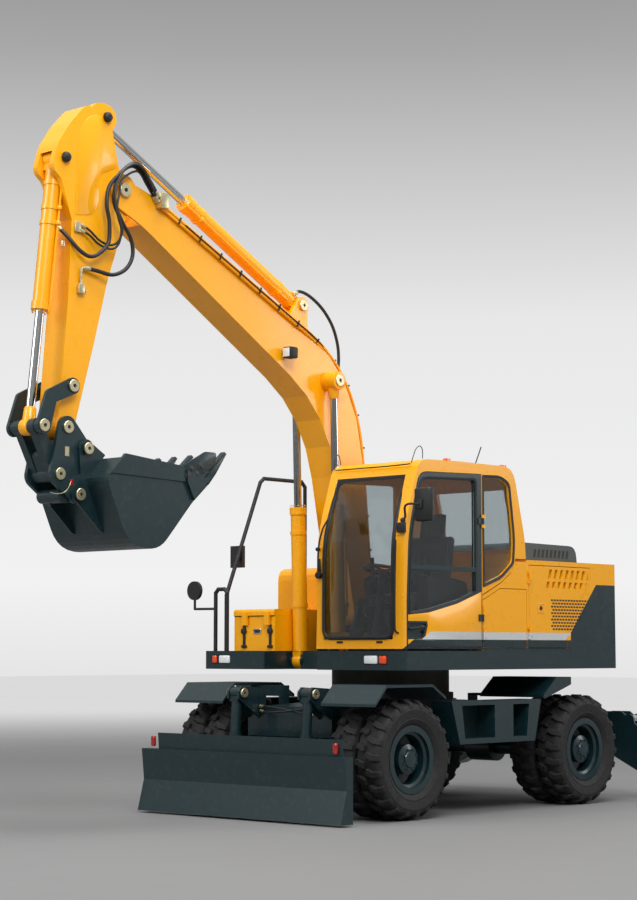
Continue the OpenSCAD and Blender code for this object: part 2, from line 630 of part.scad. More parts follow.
// Upper structure: deck with a notch for the boom's cylinders
notch = [boom_y - boom_cyl_y - boom_cyl_r - 20, boom_y + boom_cyl_y + boom_cyl_r + 20];
notch_x = deck_front - 353;
lamp_z = deck_z + 92;
module deck() color(dark) placed() {
    difference() {
        plan(deck_z, deck_h) polygon(eased([[deck_front, -deck_half, 60], [deck_front, notch[0], 30],
            [notch_x, notch[0], 0], [notch_x, notch[1], 0], [deck_front, notch[1], 30],
            [deck_front, deck_half, 60], [tail_front, deck_half, 0], [tail_front, -deck_half, 0]]));
        // Room for the boom's cylinders
        for (s = [-1, 1]) {
            slab(boom_y + s * boom_cyl_y, 2 * lug_off - 24) translate(boom_cyl_base) circle(106);
            slab(boom_y + s * boom_cyl_y, 2 * boom_cyl_r + 20) translate(boom_cyl_base + [-100, 62]) square(200);
        }
        translate([slew_x, 0, deck_z - 1]) cylinder(h = deck_h, r = slew_r - 150);
        // Seats of the lamps
        for (y = lamp_rows) box([deck_front - 30, y[0], lamp_z - 42], [deck_front + 1, y[1], lamp_z + 42]);
    }
    translate([slew_x, 0, deck_z + deck_h - 30]) cylinder(h = 30, r = slew_r - 140);
    for (y = lamp_rows) box([deck_front - 31, y[0] + 4, lamp_z - 38], [deck_front - 6, y[1] - 4, lamp_z + 38]);
    // Brackets of the boom's foot, with its pin
    for (s = [-1, 1]) slab(boom_y + s * (boom_w / 2 + 5 + 17), 34) union() {
        translate(boom_foot) circle(120);
        polygon([boom_foot + [-118, 20], boom_foot + [118, 20], [boom_foot[0] + 260, deck_z + deck_h - 1],
            [boom_foot[0] - 420, deck_z + deck_h - 1]]);
    }
    drum(boom_foot, boom_y, boom_w + 84, boom_pin_r);
    // Lugs of the boom's cylinders
    for (s = [-1, 1], e = [-1, 1]) slab(boom_y + s * boom_cyl_y + e * lug_off, 24) union() {
        translate(boom_cyl_base) circle(70);
        polygon([boom_cyl_base + [-45, 53], boom_cyl_base + [69, 0], boom_cyl_base + [30, -75],
            [notch_x - 180, deck_z], [notch_x - 180, deck_z + 100]]);
    }
    for (s = [-1, 1]) drum(boom_cyl_base, boom_y + s * boom_cyl_y, 2 * lug_off + 22, boom_pin_r - 6);
    // Mounts of the cab
    for (x = [seam_front + 90, deck_front - 110], y = [cab_in + 110, cab_out - 110])
        translate([x, y, deck_z + deck_h - 1]) cylinder(h = cab_low - deck_z - deck_h + 1, r = 50);
}
lug_off = 64;
// Lamps on the deck's front edge, [from y, to y]: orange and white on each side
lamp_rows = [[-1120, -1052], [-1030, -878], [791, 954], [966, 1060]];
// Plan of the tail: the sides run into the swept circle over eased corners
module tail_plan(inset = 0) intersection() {
    translate([slew_x, 0]) circle(tail_r - inset, $fn = 96);
    polygon(eased([[tail_front, deck_half - inset, 0], [slew_x - tail_r, deck_half - inset, 330],
        [slew_x - tail_r, -deck_half + inset, 330], [tail_front, -deck_half + inset, 0]], 6));
}
weight_top = 2112;
engine_room = [slew_x - tail_r + 420, 720];
module counterweight() color(dark) placed() difference() {
    intersection() {
        plan(deck_z, weight_top - deck_z) tail_plan();
        slab(0, 2 * deck_half) polygon(eased([[tail_front, deck_z, 0], [tail_front, deck_z + 340, 0],
            [tail_front - 430, weight_top, 0], [slew_x - tail_r, weight_top, 60], [slew_x - tail_r, deck_z, 90]]));
    }
    box([engine_room[0], -engine_room[1], deck_z + 40], [tail_front + 1, engine_room[1], weight_top + 1]);
}
module engine_block() color(grey) placed()
    box([engine_room[0] + 60, -580, deck_z + deck_h], [tail_front + 200, 580, body_top - 140]);

// Yellow body behind the cab: walls, with openings for its doors and its hood
seam_front = 325;
seam_mid = -355;
seam_rear = -1480;
body_low = deck_z + deck_h;
hood_rear = slew_x - tail_r + 320;
hood_front = tail_front + 60;
door_low = 1500;
front_hinge = [seam_front - 10, deck_half + hinge_r + side_gap];
rear_hinge = [seam_mid - 30, deck_half + hinge_r + side_gap];
front_rows = [1620, 1820];
rear_rows = [1640, 2160];
hood_hinge = [hood_front + 60 + hinge_r, body_top + hinge_r + 2];
hood_rows = [-500, 500];
left_rise = [[-106, 2191], [53, 2091], [338, 1975]];
body_front = seam_mid + 4;
module cowling_solid(t) {
    // Behind the cab: from the deck up, and over the counterweight
    intersection() {
        plan(body_low, body_top - t - body_low) union() {
            tail_plan(t);
            polygon([[tail_front - 1, -deck_half + t], [tail_front - 1, deck_half - t],
                [body_front - t, deck_half - t], [body_front - t, -deck_half + t]]);
        }
        slab(0, 2 * deck_half) polygon([[body_front, body_low - 1], [tail_front + side_gap + t, body_low - 1],
            [tail_front + side_gap + t, deck_z + 342 + t / 2], [tail_front - 430, weight_top + side_gap + t],
            [slew_x - tail_r, weight_top + side_gap + t], [slew_x - tail_r, body_top], [body_front, body_top]]);
    }
}
module under_cab(t) slab((cab_in + deck_half) / 2, deck_half - cab_in - 2 * t) polygon([
    [body_front - t, body_low + t], [seam_front - t, body_low + t], [seam_front - t, 1972 - t],
    [53, 2088 - t], [-106, 2188 - t], [-174, 2300 - t], [body_front - t, 2300 - t]]);
// Box below the cab's raised floor, closed behind by the cowling's front wall
module cab_base() color(yellow) placed() {
    difference() {
        under_cab(0);
        under_cab(panel_t);
        side_opening(1) for (dx = [0, -3]) translate([dx, 0]) front_door_shape(door_gap);
    }
    hinge_seats(front_hinge, front_rows, 9);
}
module cowling() color(yellow) placed() {
    difference() {
        cowling_solid(0);
        cowling_solid(panel_t);
        side_opening(1) rear_door_shape(door_gap);
        side_opening(-1) rear_door_shape(door_gap);
        box([hood_rear, -hood_half + 60, body_top - 100], [hood_front, hood_half - 60, body_top + 1]);
        // Way of the engine through the wall towards the counterweight
        box([engine_room[0], -engine_room[1], body_low - 1], [tail_front + 60, engine_room[1], weight_top + 70]);
    }
    both_sides() hinge_seats(rear_hinge, rear_rows, 26);
    level_eyes(hood_hinge, beside(hood_rows), hinge_r + 2, eye_h / 2);
}
module side_opening(s) slab(s * (deck_half - panel_t / 2), panel_t + 4) children();
// Outlines of the doors, grown by the gap round them
module front_door_shape(g) polygon([[seam_mid + 12 - g, door_low - g], [seam_front - 12 + g, door_low - g],
    [seam_front - 12 + g, 1930 + g], [60, 2040 + g], [seam_mid + 12 - g, 2040 + g]]);
module rear_door_shape(g) polygon([[seam_mid - 32 + g, door_low - g], [tail_front + 52 - g, door_low - g],
    [tail_front + 52 - g, 1690], [tail_front - 330 - g, 2150], [tail_front - 330 - g, 2270 + g], [seam_mid - 32 + g, 2270 + g]]);
module door_slab(s) slab(s * (deck_half - panel_t / 2), panel_t) children();
module side_door_front() color(yellow) placed() {
    door_slab(1) front_door_shape(0);
    hinge_eyes(front_hinge, front_rows, -40);
}
vent_rows = [[2155, 90], [2065, 60]];
module vents() for (row = vent_rows, k = [0:8]) translate([-700 - k * 90 + (row[0] - 2065) * -0.35, row[0]])
    polygon([[0, 0], [44, 0], [44 - row[1] * 0.35, row[1]], [-row[1] * 0.35, row[1]]]);
module rear_door() {
    difference() {
        door_slab(1) rear_door_shape(0);
        side_opening(1) intersection() {
            vents();
            rear_door_shape(-30);
        }
    }
    hinge_eyes(rear_hinge, rear_rows, -40);
}
module side_door_rear() color(yellow) placed() rear_door();
module right_door() color(yellow) placed() mirror([0, 1, 0]) rear_door();
// Louvred engine cover, hollow, hinged along its front edge
module engine_hood() color(grey) placed() {
    x0 = hood_rear - 60;
    x1 = hood_front + 60;
    difference() {
        slab(0, 2 * hood_half) polygon(eased([[x0, body_top + side_gap, 0], [x1, body_top + side_gap, 0],
            [x1 - 4, body_top + hood_h, 60], [x0 + 20, body_top + hood_h - 10, 110]]));
        slab(0, 2 * hood_half - 40) polygon(eased([[x0 + 20, body_top, 0], [x1 - 20, body_top, 0],
            [x1 - 24, body_top + hood_h - 20, 50], [x0 + 40, body_top + hood_h - 30, 100]]));
        for (k = [0:9], s = [-1, 1]) box([x0 + 240 + k * 48, s * 330 - 210, body_top + hood_h - 30],
            [x0 + 262 + k * 48, s * 330 + 210, body_top + hood_h + 1]);
    }
    for (y = hood_rows) {
        slab(y, eye_h) translate(hood_hinge) circle(hinge_r);
        box([x1 - 10, y - eye_h / 2, body_top + 4], [hood_hinge[0], y + eye_h / 2, hood_hinge[1] + hinge_r - 2]);
    }
}

// Right side: fuel tank and toolbox, beside the boom
tank_in = notch[0];
tank_front = 450;
tank_top = 2280;
box_top = 1800;
module tank() color(yellow) placed() {
    slab((tank_in - deck_half + 20) / 2, deck_half - 20 + tank_in) polygon(eased([
        [body_front + side_gap, body_low, 0], [tank_front, body_low, 0], [tank_front, tank_top, 120],
        [body_front + side_gap, tank_top, 30]]));
    for (y = beside(lid_rows)) slab(y, eye_h / 2) {
        translate(lid_hinge) circle(hinge_r);
        translate([tank_front - 1, lid_hinge[1] - hinge_r]) square([hinge_r + 5, 2 * hinge_r]);
    }
}
lid_hinge = [tank_front + hinge_r + 4, box_top + 60 + hinge_r + 2];
lid_rows = [-850, -560];
toolbox_front = 1300;
module toolbox() color(yellow) placed() difference() {
    box([tank_front + 2, -980, body_low], [toolbox_front, tank_in, box_top]);
    box([tank_front + 2 + panel_t, -980 + panel_t, body_low + panel_t],
        [toolbox_front - panel_t, tank_in - panel_t, box_top + 1]);
}
module toolbox_lid() color(yellow) placed() {
    slab((tank_in - 980) / 2, 980 + tank_in) polygon(eased([[tank_front + 8, box_top + side_gap, 0],
        [toolbox_front + 12, box_top + side_gap, 0], [toolbox_front + 12, box_top + 60, 30], [tank_front + 8, box_top + 60, 0]]));
    level_eyes(lid_hinge, lid_rows, hinge_r + 3);
    for (y = [-850, -560]) box([toolbox_front + 12, y, box_top - 90], [toolbox_front + 36, y + 60, box_top + 30]);
}
// Rails and mirrors
rail_r = 19;
module handrails() color(black) placed() {
    base = deck_z + deck_h;
    rail([[1350, -1185, base], [1350, -1185, 2020], [1350, -1150, 2055], [1350, -1065, 2055],
        [1350, -1030, 2020], [1350, -1030, base]], rail_r);
    rail([[1290, -1100, base], [1290, -1100, 2000], [830, -1100, 3110], [780, -1100, 3150],
        [240, -1100, 3150], [190, -1100, 3100], [190, -1100, tank_top]], rail_r);
    bar([1350, -1185, 1870], [1400, -1420, 1870], 12);
    bar([1400, -1420, 1862], [1400, -1420, 2000], 12);
    translate([1385, -1420, 2046]) rotate([0, 90, 0]) cylinder(h = 34, r = 90);
    box([1060, -1240, 2270], [1100, -1080, 2480]);
    bar([1150, -1100, 2337], [1080, -1150, 2375], 14);
}

// Cab: side views drawn at its outer face and, with t, at its inner one
cab_low = deck_z + deck_h + 17;
roof_front = [1225, 3165];
module cab_side(t) polygon(eased([[1456 - t, cab_low + t, 0], [1447 - t, 1770, 0], [1440 - t, 2500, 200],
    [1225 - t, cab_top - 15 - t, 110], [680, cab_top - t, 0], [-150 + t, cab_top - t, 150],
    [-324 + t, 2500, 100], [-334 + t, body_top + 8 + t, 0], [-174 + t, body_top + 8 + t, 0],
    [-106 + t, 2200 + t, 0], [53 + t / 2, 2100 + t, 0], [seam_front + 3 + t, 1984 + t, 0],
    [seam_front + 3 + t, cab_low + t, 0]]));
door_rear = 338;
cab_hinge = [door_rear - 3, cab_out + hinge_r + side_gap];
cab_rows = [1770, 2650];
module door_shape(g) polygon(eased([[door_rear - g, door_low - g, 0], [1400 + g, door_low - g, 10],
    [1400 + g, 1900, 0], [1372 + g, 2495, 150], [1225 + g, 3050 + g, 110], [door_rear - g, 3080 + g, 0]]));
module door_window(g) polygon(eased([[door_rear + 90 - g, 2010 - g, 0], [700, 1925 - g, 0], [1100, 1840 - g, 60],
    [1350 + g, 1815 - g, 20], [1325 + g, 2480, 120], [1190 + g, 2990 + g, 90], [door_rear + 90 - g, 3020 + g, 40]]));
module quarter_window(g) polygon(eased([[295 + g, 2085 - g, 20], [295 + g, 3050 + g, 20], [60, 3060 + g, 60],
    [-70 - g, 3010 + g, 60], [-140 - g, 2499, 100], [-120 - g, 2290 - g, 40], [60, 2160 - g, 60]]));
module right_window(g) polygon(eased([[380 - g, 1640 - g, 40], [1330 + g, 1640 - g, 40], [1310 + g, 2480, 120],
    [1170 + g, 3000 + g, 80], [380 - g, 3020 + g, 40]]));
sill_bar = [2185, 40];
shield_y = [311, 1125];
module cab_frame() color(yellow) placed() {
    cab_shell();
    hinge_seats(cab_hinge, [cab_rows[1]], -40);
}
module cab_shell() difference() {
    slab((cab_in + cab_out) / 2, cab_out - cab_in) cab_side(0);
    slab((cab_in + cab_out) / 2, cab_out - cab_in - 2 * cab_t) cab_side(cab_t);
    slab(cab_out - cab_t / 2, cab_t + 2) {
        door_shape(door_gap);
        quarter_window(0);
    }
    slab(cab_in + cab_t / 2, cab_t + 2) right_window(0);
    box([1150, shield_y[0], 1570], [1500, shield_y[1], 3030]);
    box([-360, shield_y[0], 2420], [-150, shield_y[1], 3000]);
}
module cab_glass() color("#5b6b70", 0.5) placed() {
    slab(cab_out - cab_t / 2, glass_t) quarter_window(-0.3);
    slab(cab_in + cab_t / 2, glass_t) right_window(-0.3);
    slab((shield_y[0] + shield_y[1]) / 2, shield_y[1] - shield_y[0] - 0.6) {
        front = [[1438, 1571], [1430, 1770], [1422, 2500], [1394, 2672], [1268, 3029]];
        polygon(concat(front, [for (i = [4:-1:0]) front[i] - [glass_t, 0]]));
        back = [[-312, 2421], [-308, 2500], [-190, 2999]];
        polygon(concat(back, [for (i = [2:-1:0]) back[i] + [glass_t, 0]]));
    }
}
module cab_interior() color(black) placed() {
    low = cab_low + cab_t;
    mid = (cab_in + cab_out) / 2;
    box([seam_front + 60, cab_in + cab_t + 2, low], [1395, cab_out - cab_t - 8, low + 30]);
    // Seat on its pedestal
    box([580, mid - 200, low + 29], [930, mid + 200, low + 330]);
    slab(mid, 460) polygon(eased([[490, low + 329, 0], [1000, low + 329, 60], [1010, low + 450, 50], [490, low + 430, 0]]));
    slab(mid, 440) polygon(eased([[460, low + 420, 30], [590, low + 420, 0], [470, low + 990, 45], [370, low + 980, 45]]));
    slab(mid, 230) polygon(eased([[380, low + 970, 30], [470, low + 970, 30], [440, low + 1190, 35], [360, low + 1190, 35]]));
    for (s = [-1, 1]) slab(mid + s * 310, 130) polygon(eased([[380, low + 29, 0], [900, low + 29, 0],
        [960, low + 600, 40], [850, low + 640, 50], [380, low + 560, 60]]));
    for (s = [-1, 1]) bar([900, mid + s * 310, low + 600], [930, mid + s * 300, low + 790], 20);
    // Steering column and wheel
    bar([1230, mid, low + 20], [1116, mid, low + 655], 40);
    translate([1115, mid, low + 660]) rotate([0, -14, 0]) {
        rotate_extrude() translate([170, 0]) circle(15);
        for (a = [0, 90]) rotate([0, 0, a]) translate([-165, -12, -8]) cube([330, 24, 14]);
    }
    for (s = [-1, 1]) box([1290, mid + s * 140 - 50, low + 29], [1370, mid + s * 140 + 50, low + 150]);
}
module cab_door() color(dark) placed() {
    difference() {
        slab(cab_out - cab_t / 2, cab_t) door_shape(0);
        difference() {
            slab(cab_out - cab_t / 2, cab_t + 2) door_window(0);
            slab(cab_out - cab_t / 2, cab_t + 4) translate([300, sill_bar[0]]) square([1200, sill_bar[1]]);
        }
        // Recess of the handle
        slab(cab_out, 30) polygon(eased([[1130, 1712, 30], [1390, 1712, 20], [1370, 1600, 30], [1180, 1590, 40]]));
    }
    bar([1180, cab_out - 8, 1690], [1360, cab_out - 8, 1660], 9);
    hinge_eyes(cab_hinge, cab_rows, 60);
}
module door_glass() color("#5b6b70", 0.5) placed() difference() {
    slab(cab_out - cab_t / 2, glass_t) door_window(-0.3);
    slab(cab_out - cab_t / 2, glass_t + 2) translate([300, sill_bar[0] - 0.3]) square([1200, sill_bar[1] + 0.6]);
}

// Boom in its own frame: along its pins' line, and above it
fork_in = arm_w / 2 + 5;
module on_boom_frame() translate([boom_foot[0], 0, boom_foot[1]]) rotate([0, -boom_rise, 0]) children();
module on_arm_frame() translate([boom_tip[0], 0, boom_tip[1]]) rotate([0, -arm_lean, 0]) children();
module boom() color(yellow) placed() on_boom_frame() {
    difference() {
        union() {
            slab(boom_y, boom_w) {
                circle(130);
                polygon(eased([[-100, 83, 0], [boom_knee, 1422, 850], [boom_len - 296, 304, 150], [boom_len + 111, 49, 60],
                    [boom_len - 36, -170, 60], [boom_len - 349, -18, 100], [boom_knee - 58, 829, 600], [83, -100, 0]]));
                translate([boom_len, 0]) circle(140);
            }
            // Lugs of the arm's cylinder
            for (e = [-1, 1]) slab(boom_y + e * 78, 40) {
                translate(boom_arm_cyl) circle(84);
                polygon([boom_arm_cyl + [-78, 30], boom_arm_cyl + [84, 0], boom_arm_cyl + [0, -300],
                    boom_arm_cyl + [-330, -200]]);
            }
        }
        drum([0, 0], boom_y, boom_w + 2, boom_pin_r + pin_gap);
        // Fork for the arm
        slab(boom_y, 2 * fork_in) polygon([[boom_len - 330, -400], [boom_len + 300, -400],
            [boom_len + 300, 400], [boom_len - 330, 400]]);
    }
    drum([boom_len, 0], boom_y, boom_w + 30, boom_pin_r);
    drum(boom_arm_cyl, boom_y, 220, arm_pin_r);
}
module boom_barrels() color(yellow) placed() for (s = [-1, 1])
    aim(boom_cyl_base, boom_cyl_eye, boom_y + s * boom_cyl_y) difference() {
        barrel(1440, boom_cyl_r, 72, 96, 36);
        pin_hole(boom_pin_r - 6);
    }
module boom_rods() color(chrome) placed() for (s = [-1, 1])
    aim(boom_cyl_base, boom_cyl_eye, boom_y + s * boom_cyl_y)
        rod(1320, norm(boom_cyl_eye - boom_cyl_base), 36, 85, 2 * (boom_cyl_y - boom_w / 2 - 6));
module arm_barrel() color(yellow) placed() aim(arm_cyl_base, arm_cyl_eye, boom_y) difference() {
    barrel(1620, arm_cyl_r, 80, 112, 40);
    pin_hole(arm_pin_r);
}
module arm_rod() color(chrome) placed() aim(arm_cyl_base, arm_cyl_eye, boom_y)
    rod(1500, norm(arm_cyl_eye - arm_cyl_base), 40, 84, 104);

// Arm in its own frame: along its pins' line, and forward of it
ear_gap = 110;
// Where the arm cylinder's eye stands in the arm as it swings from one end to the other
eye_drift = [[-572, 343], [-423, 312], [-395, 273], [-432, 271], [-547, 490]];
module arm() color(yellow) placed() on_arm_frame() {
    difference() {
        union() {
            slab(boom_y, arm_w) {
                circle(120);
                polygon(eased([[-640, 330, 40], [-620, 500, 120], [-153, 600, 60], [394, 458, 60], [1131, 280, 0],
                    [arm_len - 60, 88, 0], [arm_len - 60, -90, 0], [1373, -87, 0], [803, -72, 60], [160, -110, 60],
                    [0, -100, 0], [-170, 92, 60], [-489, 270, 60]]));
                translate(arm_eye_off) circle(112);
                translate([arm_len, 0]) circle(92);
                polygon([[arm_len - 100, 86], [arm_len, 92], [arm_len, -92], [arm_len - 100, -91]]);
                polygon(eased([[-560, 560, 90], [-300, 690, 40], [-76, 760, 60], [150, 760, 70], [190, 640, 40], [500, 420, 0], [-500, 420, 0]]));
            }
        }
        drum([0, 0], boom_y, arm_w + 2, boom_pin_r + pin_gap);
        // Between the ears: the arm cylinder's eye and the bucket cylinder's
        slab(boom_y, ear_gap) hull() for (p = eye_drift) translate(p) circle(92);
        slab(boom_y, 2 * bucket_cyl_r + 14) link(bucket_base_off, [900, 620], 105, 170);
        drum([arm_len, 0], boom_y, arm_w + 2, bucket_pin_r + pin_gap);
        drum(idler_off, boom_y, arm_w + 2, bucket_pin_r + pin_gap);
    }
    drum(bucket_base_off, boom_y, arm_w + 24, bucket_pin_r);
    for (s = [-1, 1]) drum(arm_eye_off, boom_y + s * 100, 82, 34);
}
idler_off = [arm_len - 331, 71];
module bucket_barrel() color(yellow) placed() aim(bucket_cyl_base, link_pin, boom_y) difference() {
    barrel(1290, bucket_cyl_r, 74, 2 * bucket_cyl_r + 4, 38);
    pin_hole(bucket_pin_r);
}
module bucket_rod() color(chrome) placed() aim(bucket_cyl_base, link_pin, boom_y)
    rod(1200, norm(link_pin - bucket_cyl_base), 38, 70, 92);
ear_in = arm_w / 2 + 2;
ear_out = ear_in + 34;
idler_in = ear_out + 4;
idler_t = 30;
module idler_links() color(dark) placed() {
    bend = by_bucket([205, 235]);
    for (s = [-1, 1]) {
        slab(boom_y + s * (idler_in + idler_t / 2), idler_t) {
            link(idler_pin, bend, 68, 60);
            link(bend, link_pin, 60, 70);
        }
        slab(boom_y + s * (arm_w / 2 + 1 + idler_in) / 2, idler_in - arm_w / 2 - 1 + 1) translate(idler_pin) circle(60);
        slab(boom_y + s * (ear_in + idler_in) / 2, idler_in - ear_in + 1) translate(link_pin) circle(60);
    }
    drum(idler_pin, boom_y, 2 * (idler_in + idler_t) + 10, bucket_pin_r);
}
module h_link() color(dark) placed() difference() {
    union() {
        for (s = [-1, 1]) slab(boom_y + s * 92, 78) {
            translate(link_pin) circle(66);
            link(link_pin, coupler_pin, 50, 50);
        }
        slab(boom_y, 262) translate(coupler_pin) circle(64);
        slab(boom_y, 120) link(coupler_pin, (coupler_pin * 0.6 + link_pin * 0.4), 46, 40);
    }
    drum(coupler_pin, boom_y, 300, bucket_pin_r + pin_gap);
}
module coupler() color(dark) placed() {
    for (s = [-1, 1]) slab(boom_y + s * (ear_in + ear_out) / 2, ear_out - ear_in) {
        link(bucket_pin, coupler_pin, 92, 100);
        link(bucket_pin, bucket_ear_high, 92, 70);
        link(coupler_pin, bucket_ear_low, 100, 74);
        polygon([bucket_pin, bucket_ear_high, bucket_ear_low, coupler_pin]);
    }
    drum(bucket_pin, boom_y, 2 * ear_out + 6, bucket_pin_r);
    drum(coupler_pin, boom_y, 2 * ear_out + 6, bucket_pin_r);
    // Cross tubes of the two hooks
    drum(bucket_ear_low, boom_y, 2 * ear_in + 2, 62);
    drum(bucket_ear_high + [10, 0], boom_y, 2 * ear_in + 2, 50);
    slab(boom_y, 2 * ear_in + 2) link(bucket_ear_low, by_bucket([20, -560]), 56, 56);
}
// Bucket, about its pin on the arm; mouth up, teeth towards the machine
lip = [-1290, -400];
// Side view of the shell from its rear top edge round to the lip; t moves it inwards
function shell(t) = eased([[-373 - 1.4 * t, -208 + 2 * t, 0], [-175 - 1.2 * t, -420, 90],
    [-420 - 0.6 * t, -960 + 1.2 * t, 178], [-760 + 0.4 * t, -990 + 1.3 * t, 134], lip3 + [0.7 * t, 1.4 * t, 0]], 5);
lip3 = [lip[0], lip[1], 0];
module bucket() color(dark) placed() translate([bucket_pin[0], boom_y, bucket_pin[1]]) {
    difference() {
        slab(0, 2 * bucket_half) polygon(concat(shell(0), [lip + [28, 28], [-1055, -272]]));
        slab(0, 2 * bucket_half - 2 * bucket_t) polygon(concat(shell(bucket_t), [lip + [-60, 200], [-373, 100]]));
    }
    // Strips along the side plates' edges
    for (s = [-1, 1]) slab(s * (bucket_half + 5), 14) polygon([[-373, -208], [-1055, -272], [-1050, -400], [-208, -376]]);
    // Cutting edge, side cutters, and teeth on their adapters
    slab(0, 2 * bucket_half) polygon([lip + [150, -170], lip + [-60, 54], lip + [-48, 70], lip + [40, 20], lip + [180, -140]]);
    for (s = [-1, 1]) slab(s * (bucket_half + 12), 26) polygon([[-1050, -300], [-1230, -330], lip + [-10, 20],
        lip + [150, -150], [-1060, -400]]);
    for (k = [0:teeth - 1]) {
        y = -bucket_half + 40 + k * (2 * bucket_half - 80) / (teeth - 1);
        slab(y, 62) polygon([lip + [120, -150], lip + [-40, -10], lip + [-150, 130], lip + [-125, 150],
            lip + [20, 70], lip + [150, -90]]);
        slab(y, 50) polygon([lip + [-90, 40], lip + [-262, 272], lip + [-244, 288], lip + [-60, 125]]);
    }
    // Ears on the coupler's pins
    for (s = [-1, 1]) slab(s * (ear_out + side_gap + 12), 24) {
        translate(bucket_ear_high - bucket_pin) circle(78);
        translate(bucket_ear_low - bucket_pin) circle(70);
        polygon([[-190, -90], [-385, -205], [-200, -420], [-300, -640], [-372, -850], [-340, -840],
            [-90, -615], [-40, -520], [-120, -380], [-105, -190]]);
    }
    for (p = [bucket_ear_high, bucket_ear_low]) for (s = [-1, 1])
        drum(p - bucket_pin, s * (ear_out + side_gap + 17), 34, bucket_pin_r);
}

chassis_frame();
outrigger_frame();
slew_ring();
rigid_axle();
steer_axle();
fenders();
step_boxes();
knuckle_left();
knuckle_right();
tie_rod();
tyres_front_left();
tyres_front_right();
tyres_rear_left();
tyres_rear_right();
rims_front_left();
rims_front_right();
rims_rear_left();
rims_rear_right();
dozer_blade();
blade_barrels();
blade_rods();
outrigger_leg_left();
outrigger_leg_right();
outrigger_barrel_left();
outrigger_barrel_right();
outrigger_rod_left();
outrigger_rod_right();
deck();
counterweight();
engine_block();
cowling();
cab_base();
cab_frame();
cab_glass();
cab_interior();
tank();
toolbox();
handrails();
cab_door();
door_glass();
side_door_front();
side_door_rear();
right_door();
engine_hood();
toolbox_lid();
boom();
boom_barrels();
boom_rods();
arm_barrel();
arm_rod();
arm();
bucket_barrel();
bucket_rod();
idler_links();
h_link();
coupler();
bucket();
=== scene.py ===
# Wheeled excavator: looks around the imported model
import json
import math
import bpy
from mathutils import Matrix, Vector


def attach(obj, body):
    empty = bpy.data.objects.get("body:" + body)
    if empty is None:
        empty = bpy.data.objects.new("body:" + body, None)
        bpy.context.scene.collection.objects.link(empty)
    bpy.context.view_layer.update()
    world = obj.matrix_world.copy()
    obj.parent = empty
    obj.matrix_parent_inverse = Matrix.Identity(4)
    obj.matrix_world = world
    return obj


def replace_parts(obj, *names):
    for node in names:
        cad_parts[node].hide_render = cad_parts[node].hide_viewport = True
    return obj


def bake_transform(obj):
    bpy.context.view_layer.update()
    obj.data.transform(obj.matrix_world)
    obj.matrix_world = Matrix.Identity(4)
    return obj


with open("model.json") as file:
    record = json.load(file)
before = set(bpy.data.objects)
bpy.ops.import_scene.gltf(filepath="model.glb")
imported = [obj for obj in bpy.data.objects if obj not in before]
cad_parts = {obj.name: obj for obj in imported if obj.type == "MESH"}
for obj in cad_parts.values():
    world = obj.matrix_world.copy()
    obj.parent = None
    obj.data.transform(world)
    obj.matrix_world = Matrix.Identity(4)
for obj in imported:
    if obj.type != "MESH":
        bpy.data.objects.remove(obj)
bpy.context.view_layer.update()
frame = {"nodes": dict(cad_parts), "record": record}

# The machine is laid out from the middle between its axles; the frame's origin lies ahead of it
middleX = 0.993609


def at(x, y, z):
    return Vector((x - middleX, y, z))


# Camera as in the photograph
cameraFacts = {"eye": at(14.958, 12.642, 1.471), "aim": at(1.183, -0.004, 3.329), "lens": 80.81}
cameraData = bpy.data.cameras.new("camera")
cameraData.sensor_width = 36.0
cameraData.lens = cameraFacts["lens"]
cameraData.clip_end = 200.0
camera = bpy.data.objects.new("camera", cameraData)
bpy.context.collection.objects.link(camera)
camera.location = cameraFacts["eye"]
camera.rotation_euler = (cameraFacts["aim"] - cameraFacts["eye"]).to_track_quat("-Z", "Y").to_euler()
bpy.context.scene.camera = camera
bpy.context.scene.view_settings.view_transform = "Standard"
print("camera set")


# Colours and node trees
def colour(code, alpha=1.0):
    parts = [int(code[i:i + 2], 16) / 255 for i in (1, 3, 5)]
    return tuple(c / 12.92 if c <= 0.04045 else ((c + 0.055) / 1.055) ** 2.4 for c in parts) + (alpha,)


def addNode(tree, kind, values=None, links=None, **settings):
    made = tree.nodes.new("ShaderNode" + kind)
    for key, value in settings.items():
        setattr(made, key, value)
    for key, value in (values or {}).items():
        made.inputs[key].default_value = value
    for key, source in (links or {}).items():
        tree.links.new(source, made.inputs[key])
    return made


# Painted bands on the side covers: how much their ends slant, the covers' plane, softness of the edge
bandFacts = {"slant": 1.8, "side": 1.2368, "soft": 0.0008}


def bandEnd(x, z):
    return x - middleX + bandFacts["slant"] * z


